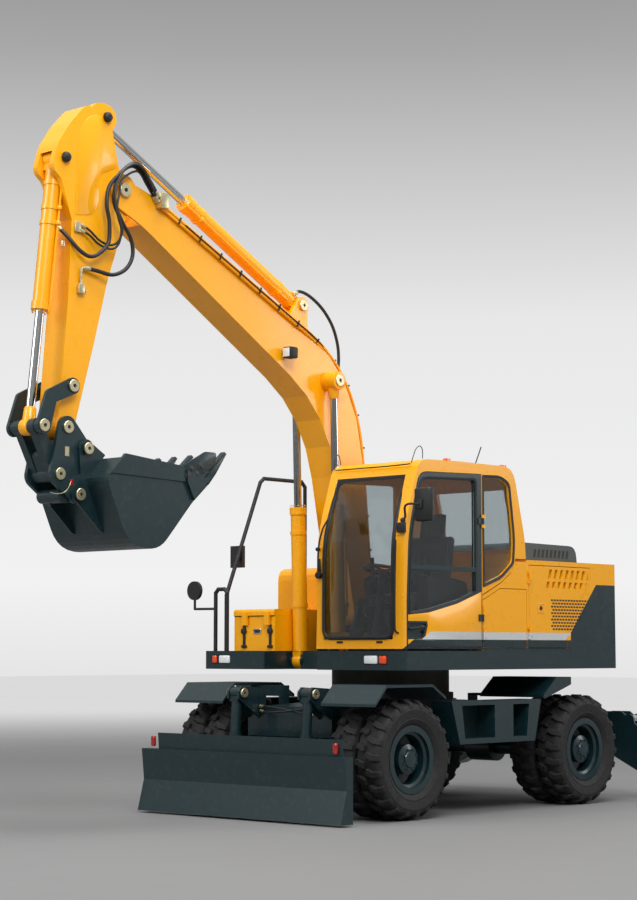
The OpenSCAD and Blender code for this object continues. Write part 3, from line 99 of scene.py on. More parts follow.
def addFinish(name, facts):
    # Facts: shader values, two colours with the patch size between them, films over them, painted bands,
    # gloss (cloud size, lowest and highest roughness), grain (node, size, depth, output), slot (not used)
    made = bpy.data.materials.new(name)
    made.use_nodes = True
    tree = made.node_tree
    shader = tree.nodes["Principled BSDF"]
    for key, value in facts["values"].items():
        shader.inputs[key].default_value = value
    place = addNode(tree, "TexCoord").outputs["Object"]
    patches = addNode(tree, "TexNoise", {"Scale": 1 / facts["patch"], "Detail": 3.0}, {"Vector": place})
    tint = addNode(tree, "Mix", {6: colour(facts["colours"][0]), 7: colour(facts["colours"][1])},
        {0: patches.outputs["Fac"]}, data_type="RGBA").outputs[2]
    for size, low, high, amount, code in facts.get("films", []):
        film = addNode(tree, "TexNoise", {"Scale": 1 / size, "Detail": 5.0, "Roughness": 0.6}, {"Vector": place})
        share = addNode(tree, "MapRange", {"From Min": low, "From Max": high, "To Max": amount},
            {"Value": film.outputs["Fac"]})
        tint = addNode(tree, "Mix", {7: colour(code)}, {0: share.outputs["Result"], 6: tint},
            data_type="RGBA").outputs[2]
    split = addNode(tree, "SeparateXYZ", None, {"Vector": place})
    for low, high, rear, front, code in facts.get("bands", []):
        # A painted band: between two heights and two slanted ends, on faces beyond the side line
        slant = addNode(tree, "Math", {1: bandFacts["slant"]}, {0: split.outputs["Z"], 2: split.outputs["X"]},
            operation="MULTIPLY_ADD")
        side = addNode(tree, "Math", None, {0: split.outputs["Y"]}, operation="ABSOLUTE")
        mask = None
        edges = [(split.outputs["Z"], low, 1), (split.outputs["Z"], high, -1), (slant.outputs[0], rear, 1),
            (slant.outputs[0], front, -1), (side.outputs[0], bandFacts["side"], 1)]
        for value, edge, way in edges:
            soft = way * bandFacts["soft"]
            rise = addNode(tree, "MapRange", {"From Min": edge - soft, "From Max": edge + soft},
                {"Value": value}).outputs["Result"]
            mask = rise if mask is None else addNode(tree, "Math", None, {0: mask, 1: rise},
                operation="MULTIPLY").outputs[0]
        tint = addNode(tree, "Mix", {7: colour(code)}, {0: mask, 6: tint}, data_type="RGBA").outputs[2]
    tree.links.new(tint, shader.inputs["Base Color"])
    cloud = addNode(tree, "TexNoise", {"Scale": 1 / facts["gloss"][0], "Detail": 4.0}, {"Vector": place})
    glossRange = {"From Min": 0.3, "From Max": 0.7, "To Min": facts["gloss"][1], "To Max": facts["gloss"][2]}
    spread = addNode(tree, "MapRange", glossRange, {"Value": cloud.outputs["Fac"]})
    tree.links.new(spread.outputs["Result"], shader.inputs["Roughness"])
    if "grain" in facts:
        kind, size, depth, output = facts["grain"]
        grain = addNode(tree, kind, {"Scale": 1 / size}, {"Vector": place})
        raised = addNode(tree, "Bump", {"Distance": depth}, {"Height": grain.outputs[output]})
        tree.links.new(raised.outputs["Normal"], shader.inputs["Normal"])
    return made


dustFilm = (0.05, 0.55, 0.8, 0.1, "#8C8272")
# Sprayed two-pack enamel: even colour, a little dust, its gloss broken by orange peel (1-2 mm, drawn at 9 mm to show)
enamelFacts = {"patch": 0.9, "films": [dustFilm], "grain": ("TexNoise", 0.009, 0.00012, "Fac")}
# The machine's yellow, with its light and dark bands along the side covers: low, high, rear and front end, colour
bandRows = [(1.571, 1.64, bandEnd(-0.967, 1.58), bandEnd(1.202, 1.571), "#C9CCCB"),
    (1.46, 1.571, bandEnd(-1.7, 1.5), bandEnd(1.402, 1.52), "#14292C")]
yellowEnamel = addFinish("yellowEnamel", {**enamelFacts, "slot": "yellow_paint",
    "values": {"Coat Weight": 0.3, "Coat Roughness": 0.1}, "colours": ("#FFB000", "#FBAA00"), "bands": bandRows,
    "gloss": (0.06, 0.26, 0.36)})
# The undercarriage's dark green: the same peel under a duller coat, so that edges glint less
darkEnamel = addFinish("darkGreenEnamel", {**enamelFacts, "slot": "dark_paint",
    "values": {"Coat Weight": 0.25, "Coat Roughness": 0.12}, "colours": ("#0B262C", "#0F2A2F"),
    "gloss": (0.06, 0.31, 0.43)})
# The same enamel on the tools that dig: rubbed to the metal in places
workEnamel = addFinish("workToolEnamel", {**enamelFacts, "slot": "dark_paint",
    "values": {"Coat Weight": 0.2, "Coat Roughness": 0.14}, "colours": ("#0C272C", "#102B30"),
    "films": [dustFilm, (0.035, 0.66, 0.74, 0.18, "#5E6261")], "gloss": (0.06, 0.35, 0.48)})
# Blue-grey enamel: a brighter coat over a dull base, softer highlights than the yellow
hoodEnamel = addFinish("blueGreyEnamel", {**enamelFacts, "values": {"Coat Weight": 0.35, "Coat Roughness": 0.1},
    "colours": ("#3C4A50", "#38454B"), "gloss": (0.06, 0.33, 0.45)})
# Hard chrome on a ground rod: a mirror with faint grinding marks
chrome = addFinish("hardChrome", {"slot": "chrome", "values": {"Metallic": 1.0}, "colours": ("#DADCDD", "#D0D2D3"),
    "patch": 0.1, "gloss": (0.02, 0.06, 0.16)})
# Turned pins and shafts: oiled steel with machining marks
steel = addFinish("turnedSteel", {"values": {"Metallic": 1.0}, "colours": ("#8E9091", "#B9BABB"), "patch": 0.03,
    "gloss": (0.008, 0.28, 0.45), "grain": ("TexNoise", 0.004, 0.0001, "Fac")})
# Yellow-chromated zinc on pins and fittings: pale, satin
zincPlate = addFinish("yellowZincPlate", {"slot": "steel", "values": {"Metallic": 0.85},
    "colours": ("#D8CFAE", "#C9BE98"), "patch": 0.05, "gloss": (0.02, 0.3, 0.45)})
# Moulded tyre rubber with carbon black: matt, dust caught in its texture
rubber = addFinish("tyreRubber", {"slot": "tyre", "values": {"Specular IOR Level": 0.35, "IOR": 1.52},
    "colours": ("#212122", "#29292A"), "patch": 0.2, "films": [(0.05, 0.5, 0.85, 0.3, "#4A4844")],
    "gloss": (0.03, 0.62, 0.85), "grain": ("TexNoise", 0.006, 0.0004, "Fac")})
# Hydraulic hose: wrapped rubber cover, a little shine where it is handled
hoseRubber = addFinish("hoseRubber", {"slot": "black_trim", "values": {"IOR": 1.52}, "colours": ("#161617", "#252526"),
    "patch": 0.05, "gloss": (0.02, 0.35, 0.55), "grain": ("TexNoise", 0.004, 0.0003, "Fac")})
# Tinted safety glass: grey-green and polished
glass = addFinish("tintedGlass", {"values": {"IOR": 1.5, "Transmission Weight": 1.0}, "colours": ("#CDD4D6", "#C9D0D2"),
    "patch": 0.9, "gloss": (0.25, 0.01, 0.04)})
# Moulded black plastic: leather grain (1 mm, drawn at 4 mm)
plastic = addFinish("mouldedPlastic", {"slot": "black_trim", "values": {"IOR": 1.46}, "colours": ("#17181A", "#222426"),
    "patch": 0.1, "gloss": (0.02, 0.42, 0.58), "grain": ("TexVoronoi", 0.004, 0.0003, "Distance")})
# Sand-cast iron, dulled by heat
castIron = addFinish("castIron", {"slot": "steel", "values": {"Metallic": 0.4}, "colours": ("#3A3C3D", "#55504A"),
    "patch": 0.08, "gloss": (0.02, 0.55, 0.8), "grain": ("TexNoise", 0.012, 0.0015, "Fac")})

slotMaterials = {"dark_paint": darkEnamel, "yellow_paint": yellowEnamel, "grey_paint": hoodEnamel, "steel": steel,
    "chrome": chrome, "tyre": rubber, "glass": glass, "black_trim": plastic, "engine": castIron}
slotOf = {row["node"]: row["material_slot"] for row in frame["record"]["subparts"]}
ownFinish = dict.fromkeys(("bucket", "coupler", "dozer_blade", "idler_links", "h_link"), workEnamel)
ownFinish["slew_ring"] = castIron
for name, cadNode in frame["nodes"].items():
    for slot in cadNode.material_slots:
        slot.material = ownFinish.get(name, slotMaterials[slotOf[name]])
print("materials assigned")

# Stage: floor, backdrop and soft lights
stageFacts = {"size": 160.0, "colours": ("#868686", "#808080"), "farColour": "#C3C3C3", "near": 8.0, "far": 34.0}
bpy.ops.mesh.primitive_plane_add(size=stageFacts["size"], location=(0, 0, 0))
floor = bpy.context.object
floor.name = "floor"
# Studio floor paint: flat grey, barely uneven
floorPaint = addFinish("studioFloor", {
    "values": {"Specular IOR Level": 0.2, "Emission Color": colour(stageFacts["farColour"])},
    "colours": stageFacts["colours"], "patch": 6.0, "gloss": (2.0, 0.55, 0.65)})
floor.data.materials.append(floorPaint)
# The floor runs out into the pale backdrop: it brightens with the distance from the machine
tree = floorPaint.node_tree
place = addNode(tree, "TexCoord").outputs["Object"]
distance = addNode(tree, "VectorMath", None, {0: place}, operation="LENGTH").outputs["Value"]
sweep = addNode(tree, "MapRange", {"From Min": stageFacts["near"], "From Max": stageFacts["far"]}, {"Value": distance},
    interpolation_type="SMOOTHSTEP")
tree.links.new(sweep.outputs["Result"], tree.nodes["Principled BSDF"].inputs["Emission Strength"])

# The backdrop the camera sees and the light it throws both follow the height of the view
skyFacts = {"strength": 0.62, "seen": (-0.05, 0.42), "lit": (-0.02, 0.65), "least": 0.16}
world = bpy.data.worlds.new("studio")
bpy.context.scene.world = world
world.use_nodes = True
tree = world.node_tree
out = next(n for n in tree.nodes if n.type == "OUTPUT_WORLD")
light = next(n for n in tree.nodes if n.type == "BACKGROUND")
light.inputs["Strength"].default_value = skyFacts["strength"]
direction = addNode(tree, "TexCoord").outputs["Generated"]
height = addNode(tree, "SeparateXYZ", None, {"Vector": direction}).outputs["Z"]
climb = addNode(tree, "MapRange", {"From Min": skyFacts["seen"][0], "From Max": skyFacts["seen"][1]}, {"Value": height})
fade = addNode(tree, "ValToRGB", None, {"Fac": climb.outputs["Result"]})
skyRows = [(0.0, "#DADADA"), (0.18, "#F2F2F2"), (0.45, "#E8E8E8"), (0.72, "#A8A8A8"), (1.0, "#606060")]
stops = fade.color_ramp.elements
while len(stops) < len(skyRows):
    stops.new(0.5)
for stop, (position, code) in zip(stops, skyRows):
    stop.position = position
    stop.color = colour(code)
shown = addNode(tree, "Background", {"Strength": 1.0}, {"Color": fade.outputs["Color"]})
path = addNode(tree, "LightPath")
seen = addNode(tree, "Math", None, {0: path.outputs["Is Camera Ray"], 1: path.outputs["Is Transmission Ray"]},
    operation="MAXIMUM").outputs[0]
glowRange = {"From Min": skyFacts["lit"][0], "From Max": skyFacts["lit"][1], "To Min": skyFacts["least"]}
glow = addNode(tree, "MapRange", glowRange, {"Value": height})
tree.links.new(glow.outputs["Result"], light.inputs["Color"])
both = addNode(tree, "MixShader", None, {0: seen, 1: light.outputs[0], 2: shown.outputs[0]})
tree.links.new(both.outputs[0], out.inputs["Surface"])

# name, place, aim, size, watts
lampRows = [("keyLamp", (9.0, 11.0, 13.0), (0.0, 0.0, 2.5), 6.0, 1500.0),
    ("sideLamp", (14.0, -5.0, 9.0), (0.0, 0.0, 2.0), 6.0, 700.0),
    ("topLamp", (1.0, 2.0, 15.0), (0.0, 0.0, 2.0), 8.0, 1300.0),
    ("backLamp", (-12.0, 9.0, 7.0), (0.0, 0.0, 2.0), 5.0, 350.0)]
for name, spot, aim, size, watts in lampRows:
    lampData = bpy.data.lights.new(name, "AREA")
    lampData.size = size
    lampData.energy = watts
    lamp = bpy.data.objects.new(name, lampData)
    bpy.context.collection.objects.link(lamp)
    lamp.location = spot
    lamp.rotation_euler = (Vector(aim) - Vector(spot)).to_track_quat("-Z", "Y").to_euler()
print("stage set")


# Modelling helpers
def deselect():
    if bpy.context.object and bpy.context.object.mode != "OBJECT":
        bpy.ops.object.mode_set(mode="OBJECT")
    bpy.ops.object.select_all(action="DESELECT")


def choose(pieces):
    # Selects these pieces alone; the first is the active one
    deselect()
    for piece in pieces:
        piece.select_set(True)
    bpy.context.view_layer.objects.active = pieces[0]


def settle(piece):
    # Puts the piece's place in its mesh
    choose([piece])
    bpy.ops.object.transform_apply(location=True, rotation=True, scale=True)
    return piece


def applied(piece, kind, **settings):
    choose([piece])
    modifier = piece.modifiers.new("step", kind)
    for key, value in settings.items():
        setattr(modifier, key, value)
    bpy.ops.object.modifier_apply(modifier=modifier.name)
    return piece


def softened(piece, width, segments=2, angle=35):
    return applied(piece, "BEVEL", width=width, segments=segments, limit_method="ANGLE",
        angle_limit=math.radians(angle))


wholeMesh = (bpy.ops.mesh.select_all, {"action": "SELECT"})
mergedCorners = (bpy.ops.mesh.remove_doubles, {"threshold": 0.00002})
facesOut = (bpy.ops.mesh.normals_make_consistent, {"inside": False})


def pushed(way):
    return (bpy.ops.mesh.extrude_region_move, {"TRANSFORM_OT_translate": {"value": way}})


def inEdit(piece, *steps):
    # Each step is an operator and its settings; the whole mesh is selected at the start
    choose([piece])
    bpy.ops.object.mode_set(mode="EDIT")
    bpy.ops.mesh.select_all(action="SELECT")
    for step, settings in steps:
        step(**settings)
    bpy.ops.object.mode_set(mode="OBJECT")
    return piece


def outlined(corners, fill="NGON"):
    # A face, or with fill "NOTHING" a closed line of edges, through the corners
    deselect()
    bpy.ops.mesh.primitive_circle_add(vertices=len(corners), fill_type=fill)
    piece = bpy.context.object
    for vertex, corner in zip(piece.data.vertices, corners):
        vertex.co = corner
    return piece


def plate(corners, depth, edge=0.0):
    # A flat outline, pushed out by the vector depth
    piece = inEdit(outlined(corners), pushed(depth), wholeMesh, facesOut)
    return softened(piece, edge) if edge else piece


def sidePlate(corners, y, width, edge=0.0):
    # Side view [x, z] in the machine's own frame, from y to y + width
    return plate([at(x, y, z) for x, z in corners], (0, width, 0), edge)


def turned(profile, centre, axis, steps=32):
    # Profile rows [radius, along] turned about the axis through centre
    axis = Vector(axis).normalized()
    side = axis.orthogonal().normalized()
    piece = outlined([centre + side * r + axis * a for r, a in profile], "NOTHING")
    return inEdit(piece, (bpy.ops.mesh.spin, {"steps": steps, "angle": math.tau, "center": centre, "axis": axis}),
        wholeMesh, mergedCorners, facesOut)


def box(low, high, edge=0.004):
    deselect()
    bpy.ops.mesh.primitive_cube_add(size=1, location=(Vector(low) + Vector(high)) / 2)
    piece = bpy.context.object
    piece.scale = [abs(b - a) for a, b in zip(low, high)]
    settle(piece)
    return softened(piece, edge) if edge else piece


def rod(start, end, radius, sides=16, edge=0.0):
    deselect()
    start, end = Vector(start), Vector(end)
    bpy.ops.mesh.primitive_cylinder_add(vertices=sides, radius=radius, depth=(end - start).length,
        location=(start + end) / 2)
    piece = bpy.context.object
    piece.rotation_euler = (end - start).to_track_quat("Z", "Y").to_euler()
    settle(piece)
    return softened(piece, edge) if edge else piece


def copied(piece, matrix):
    made = bpy.data.objects.new(piece.name, piece.data.copy())
    bpy.context.collection.objects.link(made)
    made.data.transform(matrix)
    return made


def joined(parts, name):
    choose(parts)
    if len(parts) > 1:
        bpy.ops.object.join()
    piece = bpy.context.object
    piece.name = piece.data.name = name
    return piece


def dressed(parts, name, body, material, smooth=30):
    # Joins the parts into one piece with its material, body and finish slot
    piece = joined(parts if isinstance(parts, list) else [parts], name)
    piece.data.materials.clear()
    piece.data.materials.append(material)
    choose([piece])
    bpy.ops.object.shade_smooth_by_angle(angle=math.radians(smooth))
    if body:
        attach(piece, body)
    return piece


def dressedAll(groups, prefix, material):
    # One piece for each body that has parts in the group
    for body, parts in groups.items():
        dressed(parts, prefix + body, body, material)


def curvePoints(points, count=10):
    # Smooth line through the points
    ends = [2 * points[0] - points[1]] + points + [2 * points[-1] - points[-2]]
    line = []
    for i in range(1, len(ends) - 2):
        a, b, c, d = ends[i - 1:i + 3]
        for k in range(count):
            t = k / count
            line.append(0.5 * (2 * b + (c - a) * t + (2 * a - 5 * b + 4 * c - d) * t * t
                + (3 * b - 3 * c + d - a) * t ** 3))
    return line + [points[-1]]


def pathOf(corners, count):
    # Smooth line through corners in the machine's own frame
    return curvePoints([at(*corner) for corner in corners], count)


def tube(points, radius, sides=4):
    # sides: resolution of a quarter of the section
    data = bpy.data.curves.new("tube", "CURVE")
    data.dimensions = "3D"
    data.bevel_depth = radius
    data.bevel_resolution = sides
    data.use_fill_caps = True
    spline = data.splines.new("POLY")
    spline.points.add(len(points) - 1)
    for knot, point in zip(spline.points, points):
        knot.co = (*point, 1)
    piece = bpy.data.objects.new("tube", data)
    bpy.context.collection.objects.link(piece)
    choose([piece])
    bpy.ops.object.convert(target="MESH")
    return bpy.context.object


def hose(name, corners, diameter, body, farBody=None):
    # A free hydraulic hose from one fitting to another; with a far body it is attached to neither body
    line = curvePoints(corners)
    piece = dressed(tube(line, diameter / 2), name, None if farBody else body, hoseRubber, 60)
    if farBody:
        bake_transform(piece)


def eased(rows, count=4):
    # The outline of rows [x, z, cut] with its corners eased, as the CAD draws them
    points = []
    for index, (x, z, cut) in enumerate(rows):
        here = Vector((x, z))
        before, after = Vector(rows[index - 1][:2]), Vector(rows[(index + 1) % len(rows)][:2])
        if cut == 0:
            points.append(here)
            continue
        start, end = here + cut * (before - here).normalized(), here + cut * (after - here).normalized()
        for k in range(count + 1):
            t = k / count
            points.append((1 - t) ** 2 * start + 2 * t * (1 - t) * here + t * t * end)
    return points


def grown(rows, by):
    # The outline moved outwards by the given amount
    made = []
    for index, (x, z, cut) in enumerate(rows):
        here = Vector((x, z))
        back = (here - Vector(rows[index - 1][:2])).normalized()
        ahead = (Vector(rows[(index + 1) % len(rows)][:2]) - here).normalized()
        out = Vector((back.y, -back.x)) + Vector((ahead.y, -ahead.x))
        out = out / max(0.4, out.length_squared / 2)
        made.append((x + out.x * by, z + out.y * by, cut))
    return made


# Side views [x, z]: pins and slants of the boom and the arm at rest
boomFoot, boomRise = (0.6, 1.842), 48.92
boomTip, armLean = (3.66603, 5.35916), -73.96
bucketPin = (4.26134, 3.28905)


def fromLine(origin, angle, x, z):
    a = math.radians(angle)
    return (origin[0] + x * math.cos(a) - z * math.sin(a), origin[1] + x * math.sin(a) + z * math.cos(a))


def onBoom(x, z):
    return fromLine(boomFoot, boomRise, x, z)


def onArm(x, z):
    return fromLine(boomTip, armLean, x, z)


def byBucket(x, z):
    return (bucketPin[0] + x, bucketPin[1] + z)


# Middle plane of the boom and the arm, and the pins at both ends of the cylinders
armMiddle = -0.12
boomBarrelPin, boomRodPin = (1.04, 1.375), onBoom(1.942, 1.01)
armBarrelPin, armRodPin = onBoom(2.643, 1.264), onArm(-0.526, 0.342)
bucketBarrelPin, bucketRodPin = onArm(0.007, 0.657), byBucket(0.278, -0.01)

# Tyres: carcass with moulded lugs, in place of the plain CAD ones
tyreFacts = {"radius": 0.526, "lugs": 22, "outer": 1.11, "pitch": 0.31}
# A lug: block height and how deep it stands in the carcass, narrowing to its top, the shoulder it runs down
lugFacts = {"height": 0.06, "sunk": 0.0622, "taper": (0.86, 0.95, 1.0), "shoulder": 0.085, "run": 0.051, "drop": 0.04}
wheelRows = [("front_left", 1.3, 1, "wheel_front_left"), ("front_right", 1.3, -1, "wheel_front_right"),
    ("rear_left", -1.3, 1, "wheel_rear_left"), ("rear_right", -1.3, -1, "wheel_rear_right")]
carcassHalf = [(0.2545, 0.0895), (0.3, 0.0895), (0.304, 0.097), (0.316, 0.108), (0.345, 0.126), (0.352, 0.129),
    (0.358, 0.126), (0.39, 0.134), (0.425, 0.1365), (0.432, 0.138), (0.44, 0.134), (0.462, 0.129),
    (0.478, 0.116), (0.487, 0.093), (0.489, 0.04)]
carcassBack = [(0.474, 0.06), (0.458, 0.105), (0.39, 0.112), (0.3, 0.075), (0.2545, 0.066)]
carcass = [(r, a) for r, a in carcassHalf] + [(r, -a) for r, a in reversed(carcassHalf)] + \
          [(r, -a) for r, a in reversed(carcassBack)] + [(r, a) for r, a in carcassBack]


def tyreLug():
    # One lug of the near half: a slanted block over the tread that runs down the shoulder
    outline = [(-0.044, 0.01), (0.02, 0.004), (0.034, 0.05), (0.046, 0.06), (0.05, 0.136), (-0.012, 0.136),
        (-0.016, 0.07), (-0.03, 0.055)]
    block = outlined([(x, y, 0.0) for x, y in outline])
    narrowed = (bpy.ops.transform.resize, {"value": lugFacts["taper"]})
    return inEdit(block, pushed((0, 0, lugFacts["height"])), narrowed, wholeMesh, facesOut)


def lugPlace(co, base):
    # Flat lug laid on the carcass: its outer end is drawn down the shoulder, the top more than the foot
    fall = max(0.0, (co.y - lugFacts["shoulder"]) / lugFacts["run"])
    share = 1.0 if co.z > lugFacts["height"] / 2 else 0.4
    height = base + co.z - lugFacts["drop"] * fall ** 1.6 * share
    angle = co.x / tyreFacts["radius"]
    return Vector((height * math.sin(angle), co.y, height * math.cos(angle)))


lugBase = tyreLug()
for vertex in lugBase.data.vertices:
    vertex.co = lugPlace(vertex.co, tyreFacts["radius"] - lugFacts["sunk"])
softened(lugBase, 0.003, 1, 30)
step = math.tau / tyreFacts["lugs"]
tyreParts = [turned(carcass, Vector(), (0, 1, 0), 88)]
for index in range(tyreFacts["lugs"]):
    tyreParts.append(copied(lugBase, Matrix.Rotation(index * step, 4, "Y")))
    tyreParts.append(copied(lugBase, Matrix.Rotation((index + 0.5) * step, 4, "Y") @ Matrix.Rotation(math.pi, 4, "Z")))
bpy.data.objects.remove(lugBase)
tyreModel = joined(tyreParts, "tyreModel")
for name, axleX, side, body in wheelRows:
    centre = at(axleX, 0, tyreFacts["radius"])
    pair = []
    for k in (0, 1):
        spot = centre + Vector((0, side * (tyreFacts["outer"] - k * tyreFacts["pitch"]), 0))
        pair.append(copied(tyreModel, Matrix.Translation(spot) @ Matrix.Rotation(0.11 * k + 0.05, 4, "Y")))
    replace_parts(dressed(pair, "tyrePair_" + name, body, rubber, 32), "tyres_" + name)
bpy.data.objects.remove(tyreModel)
print("tyres made")


def onCircle(centre, radius, share, y):
    # Point at that share of a turn round the wheel's axis, y beside its centre
    return centre + Vector((radius * math.cos(math.tau * share), y, radius * math.sin(math.tau * share)))


# Wheel trim: nuts on the discs, hub cap with its bolts
nutFacts = {"count": 10, "circle": 0.146, "size": 0.016, "capBolts": 8, "capCircle": 0.092}
for name, axleX, side, body in wheelRows:
    centre = at(axleX, 0, tyreFacts["radius"])
    parts = []
    for index in range(nutFacts["count"]):
        spot = onCircle(centre, nutFacts["circle"], index / nutFacts["count"], side * 0.984)
        parts.append(rod(spot, spot + Vector((0, side * 0.028, 0)), nutFacts["size"], 6, 0.002))
        parts.append(rod(spot, spot + Vector((0, side * 0.042, 0)), 0.0095, 10))
    for index in range(nutFacts["capBolts"]):
        spot = onCircle(centre, nutFacts["capCircle"], (index + 0.5) / nutFacts["capBolts"], side * 1.183)
        parts.append(rod(spot, spot + Vector((0, side * 0.012, 0)), 0.009, 6, 0.001))
    profile = [(0.0, 1.184), (0.07, 1.184), (0.074, 1.19), (0.066, 1.2), (0.03, 1.204), (0.0, 1.204)]
    parts.append(turned([(r, side * a) for r, a in profile], centre, (0, 1, 0), 32))
    dressed(parts, "wheelTrim_" + name, body, darkEnamel)
print("wheel trim made")

# Pin ends: a turned steel ring with a dark retaining plate, or a black cap on the arm
# body, side view place, half width, ring radius: first on the arm's middle plane, then on both sides of the chassis
middlePins = [("upper", boomFoot, 0.197, 0.062), ("upper", boomBarrelPin, 0.315, 0.05),
    ("boom", boomRodPin, 0.319, 0.056), ("boom", armBarrelPin, 0.11, 0.05), ("boom", boomTip, 0.17, 0.06),
    ("arm", armRodPin, 0.141, 0.045), ("arm", bucketBarrelPin, 0.142, 0.045),
    ("idler_links", byBucket(-0.023, 0.338), 0.205, 0.052),
    ("idler_links", bucketRodPin, 0.2, 0.052), ("bucket", byBucket(0.08, -0.388), 0.169, 0.05),
    ("bucket", bucketPin, 0.169, 0.052), ("bucket", byBucket(-0.18, -0.166), 0.216, 0.05),
    ("bucket", byBucket(-0.1, -0.548), 0.216, 0.05)]
sidePins = [("chassis", (1.51, 0.45), 0.085, 0.046), ("chassis", (1.8, 1.09), 0.085, 0.044),
    ("blade", (1.85, 0.42), 0.069, 0.038)]
pinRows = [(armMiddle, *row) for row in middlePins] + [(y, *row) for y in (0.44, -0.44) for row in sidePins]
# Profiles: share of the ring's radius, distance from the face
capProfile = [(0.0, 0.0), (1.0, 0.0), (1.0, 0.012), (0.85, 0.026), (0.5, 0.036), (0.0, 0.038)]
ringProfile = [(0.28, 0.0), (1.0, 0.0), (1.0, 0.01), (0.92, 0.014), (0.32, 0.014), (0.28, 0.008)]
plateProfile = [(0.0, 0.0), (0.27, 0.0), (0.27, 0.006), (0.15, 0.006), (0.13, 0.012), (0.0, 0.012)]
ringParts, centreParts = {}, {}
for middle, body, (x, z), half, radius in pinRows:
    kinds = [(ringProfile, ringParts, 28), (plateProfile, centreParts, 20)]
    if body == "arm":
        kinds = [(capProfile, centreParts, 24)]
    for way in (1, -1):
        for profile, group, steps in kinds:
            end = turned([(radius * r, way * a) for r, a in profile], at(x, middle + way * half, z), (0, 1, 0), steps)
            group.setdefault(body, []).append(end)
dressedAll(ringParts, "pinRings_", zincPlate)
dressedAll(centreParts, "pinPlates_", plastic)
print("pins made")

# Hydraulic pipes: behind the boom's rear leg, then on its side faces below the top edge
pipeFacts = {"radius": 0.0125, "pitch": 0.032, "stand": 0.034, "face": 0.155, "below": 0.03, "turn": (0.34, 0.58),
    "clamps": 15}
# The boom's top edge in its own frame: foot, the knee's three points, tip; and where on 0 to 1 leg and knee end
topFacts = {"foot": (0.185, 0.2865), "knee": [(1.0823, 0.9278), (1.774, 1.422), (2.5547, 1.0858)],
    "tip": (4.345, 0.3145), "legEnd": 0.22, "kneeEnd": 0.55}


def boomTop(t):
    # 0 to 1 along the rear leg, the knee and the straight part
    first, middle, last = (Vector(p) for p in topFacts["knee"])
    if t < topFacts["legEnd"]:
        return Vector(topFacts["foot"]).lerp(first, t / topFacts["legEnd"])
    if t < topFacts["kneeEnd"]:
        k = (t - topFacts["legEnd"]) / (topFacts["kneeEnd"] - topFacts["legEnd"])
        return (1 - k) ** 2 * first + 2 * k * (1 - k) * middle + k * k * last
    return last.lerp(Vector(topFacts["tip"]), (t - topFacts["kneeEnd"]) / (1 - topFacts["kneeEnd"]))


def pipeAt(t, row, side, out=0.0):
    # Row 0 or 1 of the pair on that side; out moves the point away from the boom
    begin, done = pipeFacts["turn"]
    k = min(1.0, max(0.0, (t - begin) / (done - begin)))
    k = k * k * (3 - 2 * k)
    behind = (pipeFacts["face"] - 0.018 - row * pipeFacts["pitch"], pipeFacts["stand"] + out)
    beside = (pipeFacts["face"] + 0.02 + out, -pipeFacts["below"] - row * pipeFacts["pitch"])
    y, lift = (a + (b - a) * k for a, b in zip(behind, beside))
    here, ahead = boomTop(t), boomTop(min(t + 0.01, 1.01))
    along = (ahead - here).normalized()
    x, z = onBoom(*(here + Vector((-along.y, along.x)) * lift))
    return at(x, armMiddle + side * y, z)


pipes, clamps = [], []
for side in (-1, 1):
    for row in (0, 1):
        pipes.append(tube([pipeAt(k / 60, row, side) for k in range(61)], pipeFacts["radius"]))
    clamps.append(tube([pipeAt(k / 60, 0.5, side, 0.02) for k in range(6, 57)], 0.006, 2))
    for k in range(pipeFacts["clamps"]):
        t = 0.05 + k * 0.9 / (pipeFacts["clamps"] - 1)
        clamps.append(rod(pipeAt(t, -0.5, side, 0.012), pipeAt(t, 1.5, side, 0.012), 0.009, 8))
        clamps.append(rod(pipeAt(t, 0.5, side, -0.028), pipeAt(t, 0.5, side, 0.018), 0.008, 8))
dressed(pipes, "boomPipes", "boom", yellowEnamel, 60)
dressed(clamps, "pipeClamps", "boom", plastic)

# Painted rod ends: body, eye, other end of the cylinder, y, half width, radius, rod radius
eyeRows = [("boom_rods", boomRodPin, boomBarrelPin, 0.12, 0.08, 0.087, 0.036),
    ("boom_rods", boomRodPin, boomBarrelPin, -0.36, 0.08, 0.087, 0.036),
    ("arm_rod", armRodPin, armBarrelPin, armMiddle, 0.053, 0.086, 0.04),
    ("bucket_rod", bucketRodPin, bucketBarrelPin, armMiddle, 0.047, 0.072, 0.038)]
eyeParts = {}
for body, (x, z), (farX, farZ), y, half, radius, core in eyeRows:
    away = Vector((farX - x, 0, farZ - z)).normalized()
    neck = [(0.0, radius * 0.6), (core + 0.02, radius * 0.6), (core + 0.013, 0.15), (core + 0.005, 0.165), (0.0, 0.165)]
    eyeParts.setdefault(body, []).append(rod(at(x, y - half, z), at(x, y + half, z), radius, 36, 0.004))
    eyeParts[body].append(turned(neck, at(x, y, z), away, 28))
dressedAll(eyeParts, "rodEyes_", yellowEnamel)

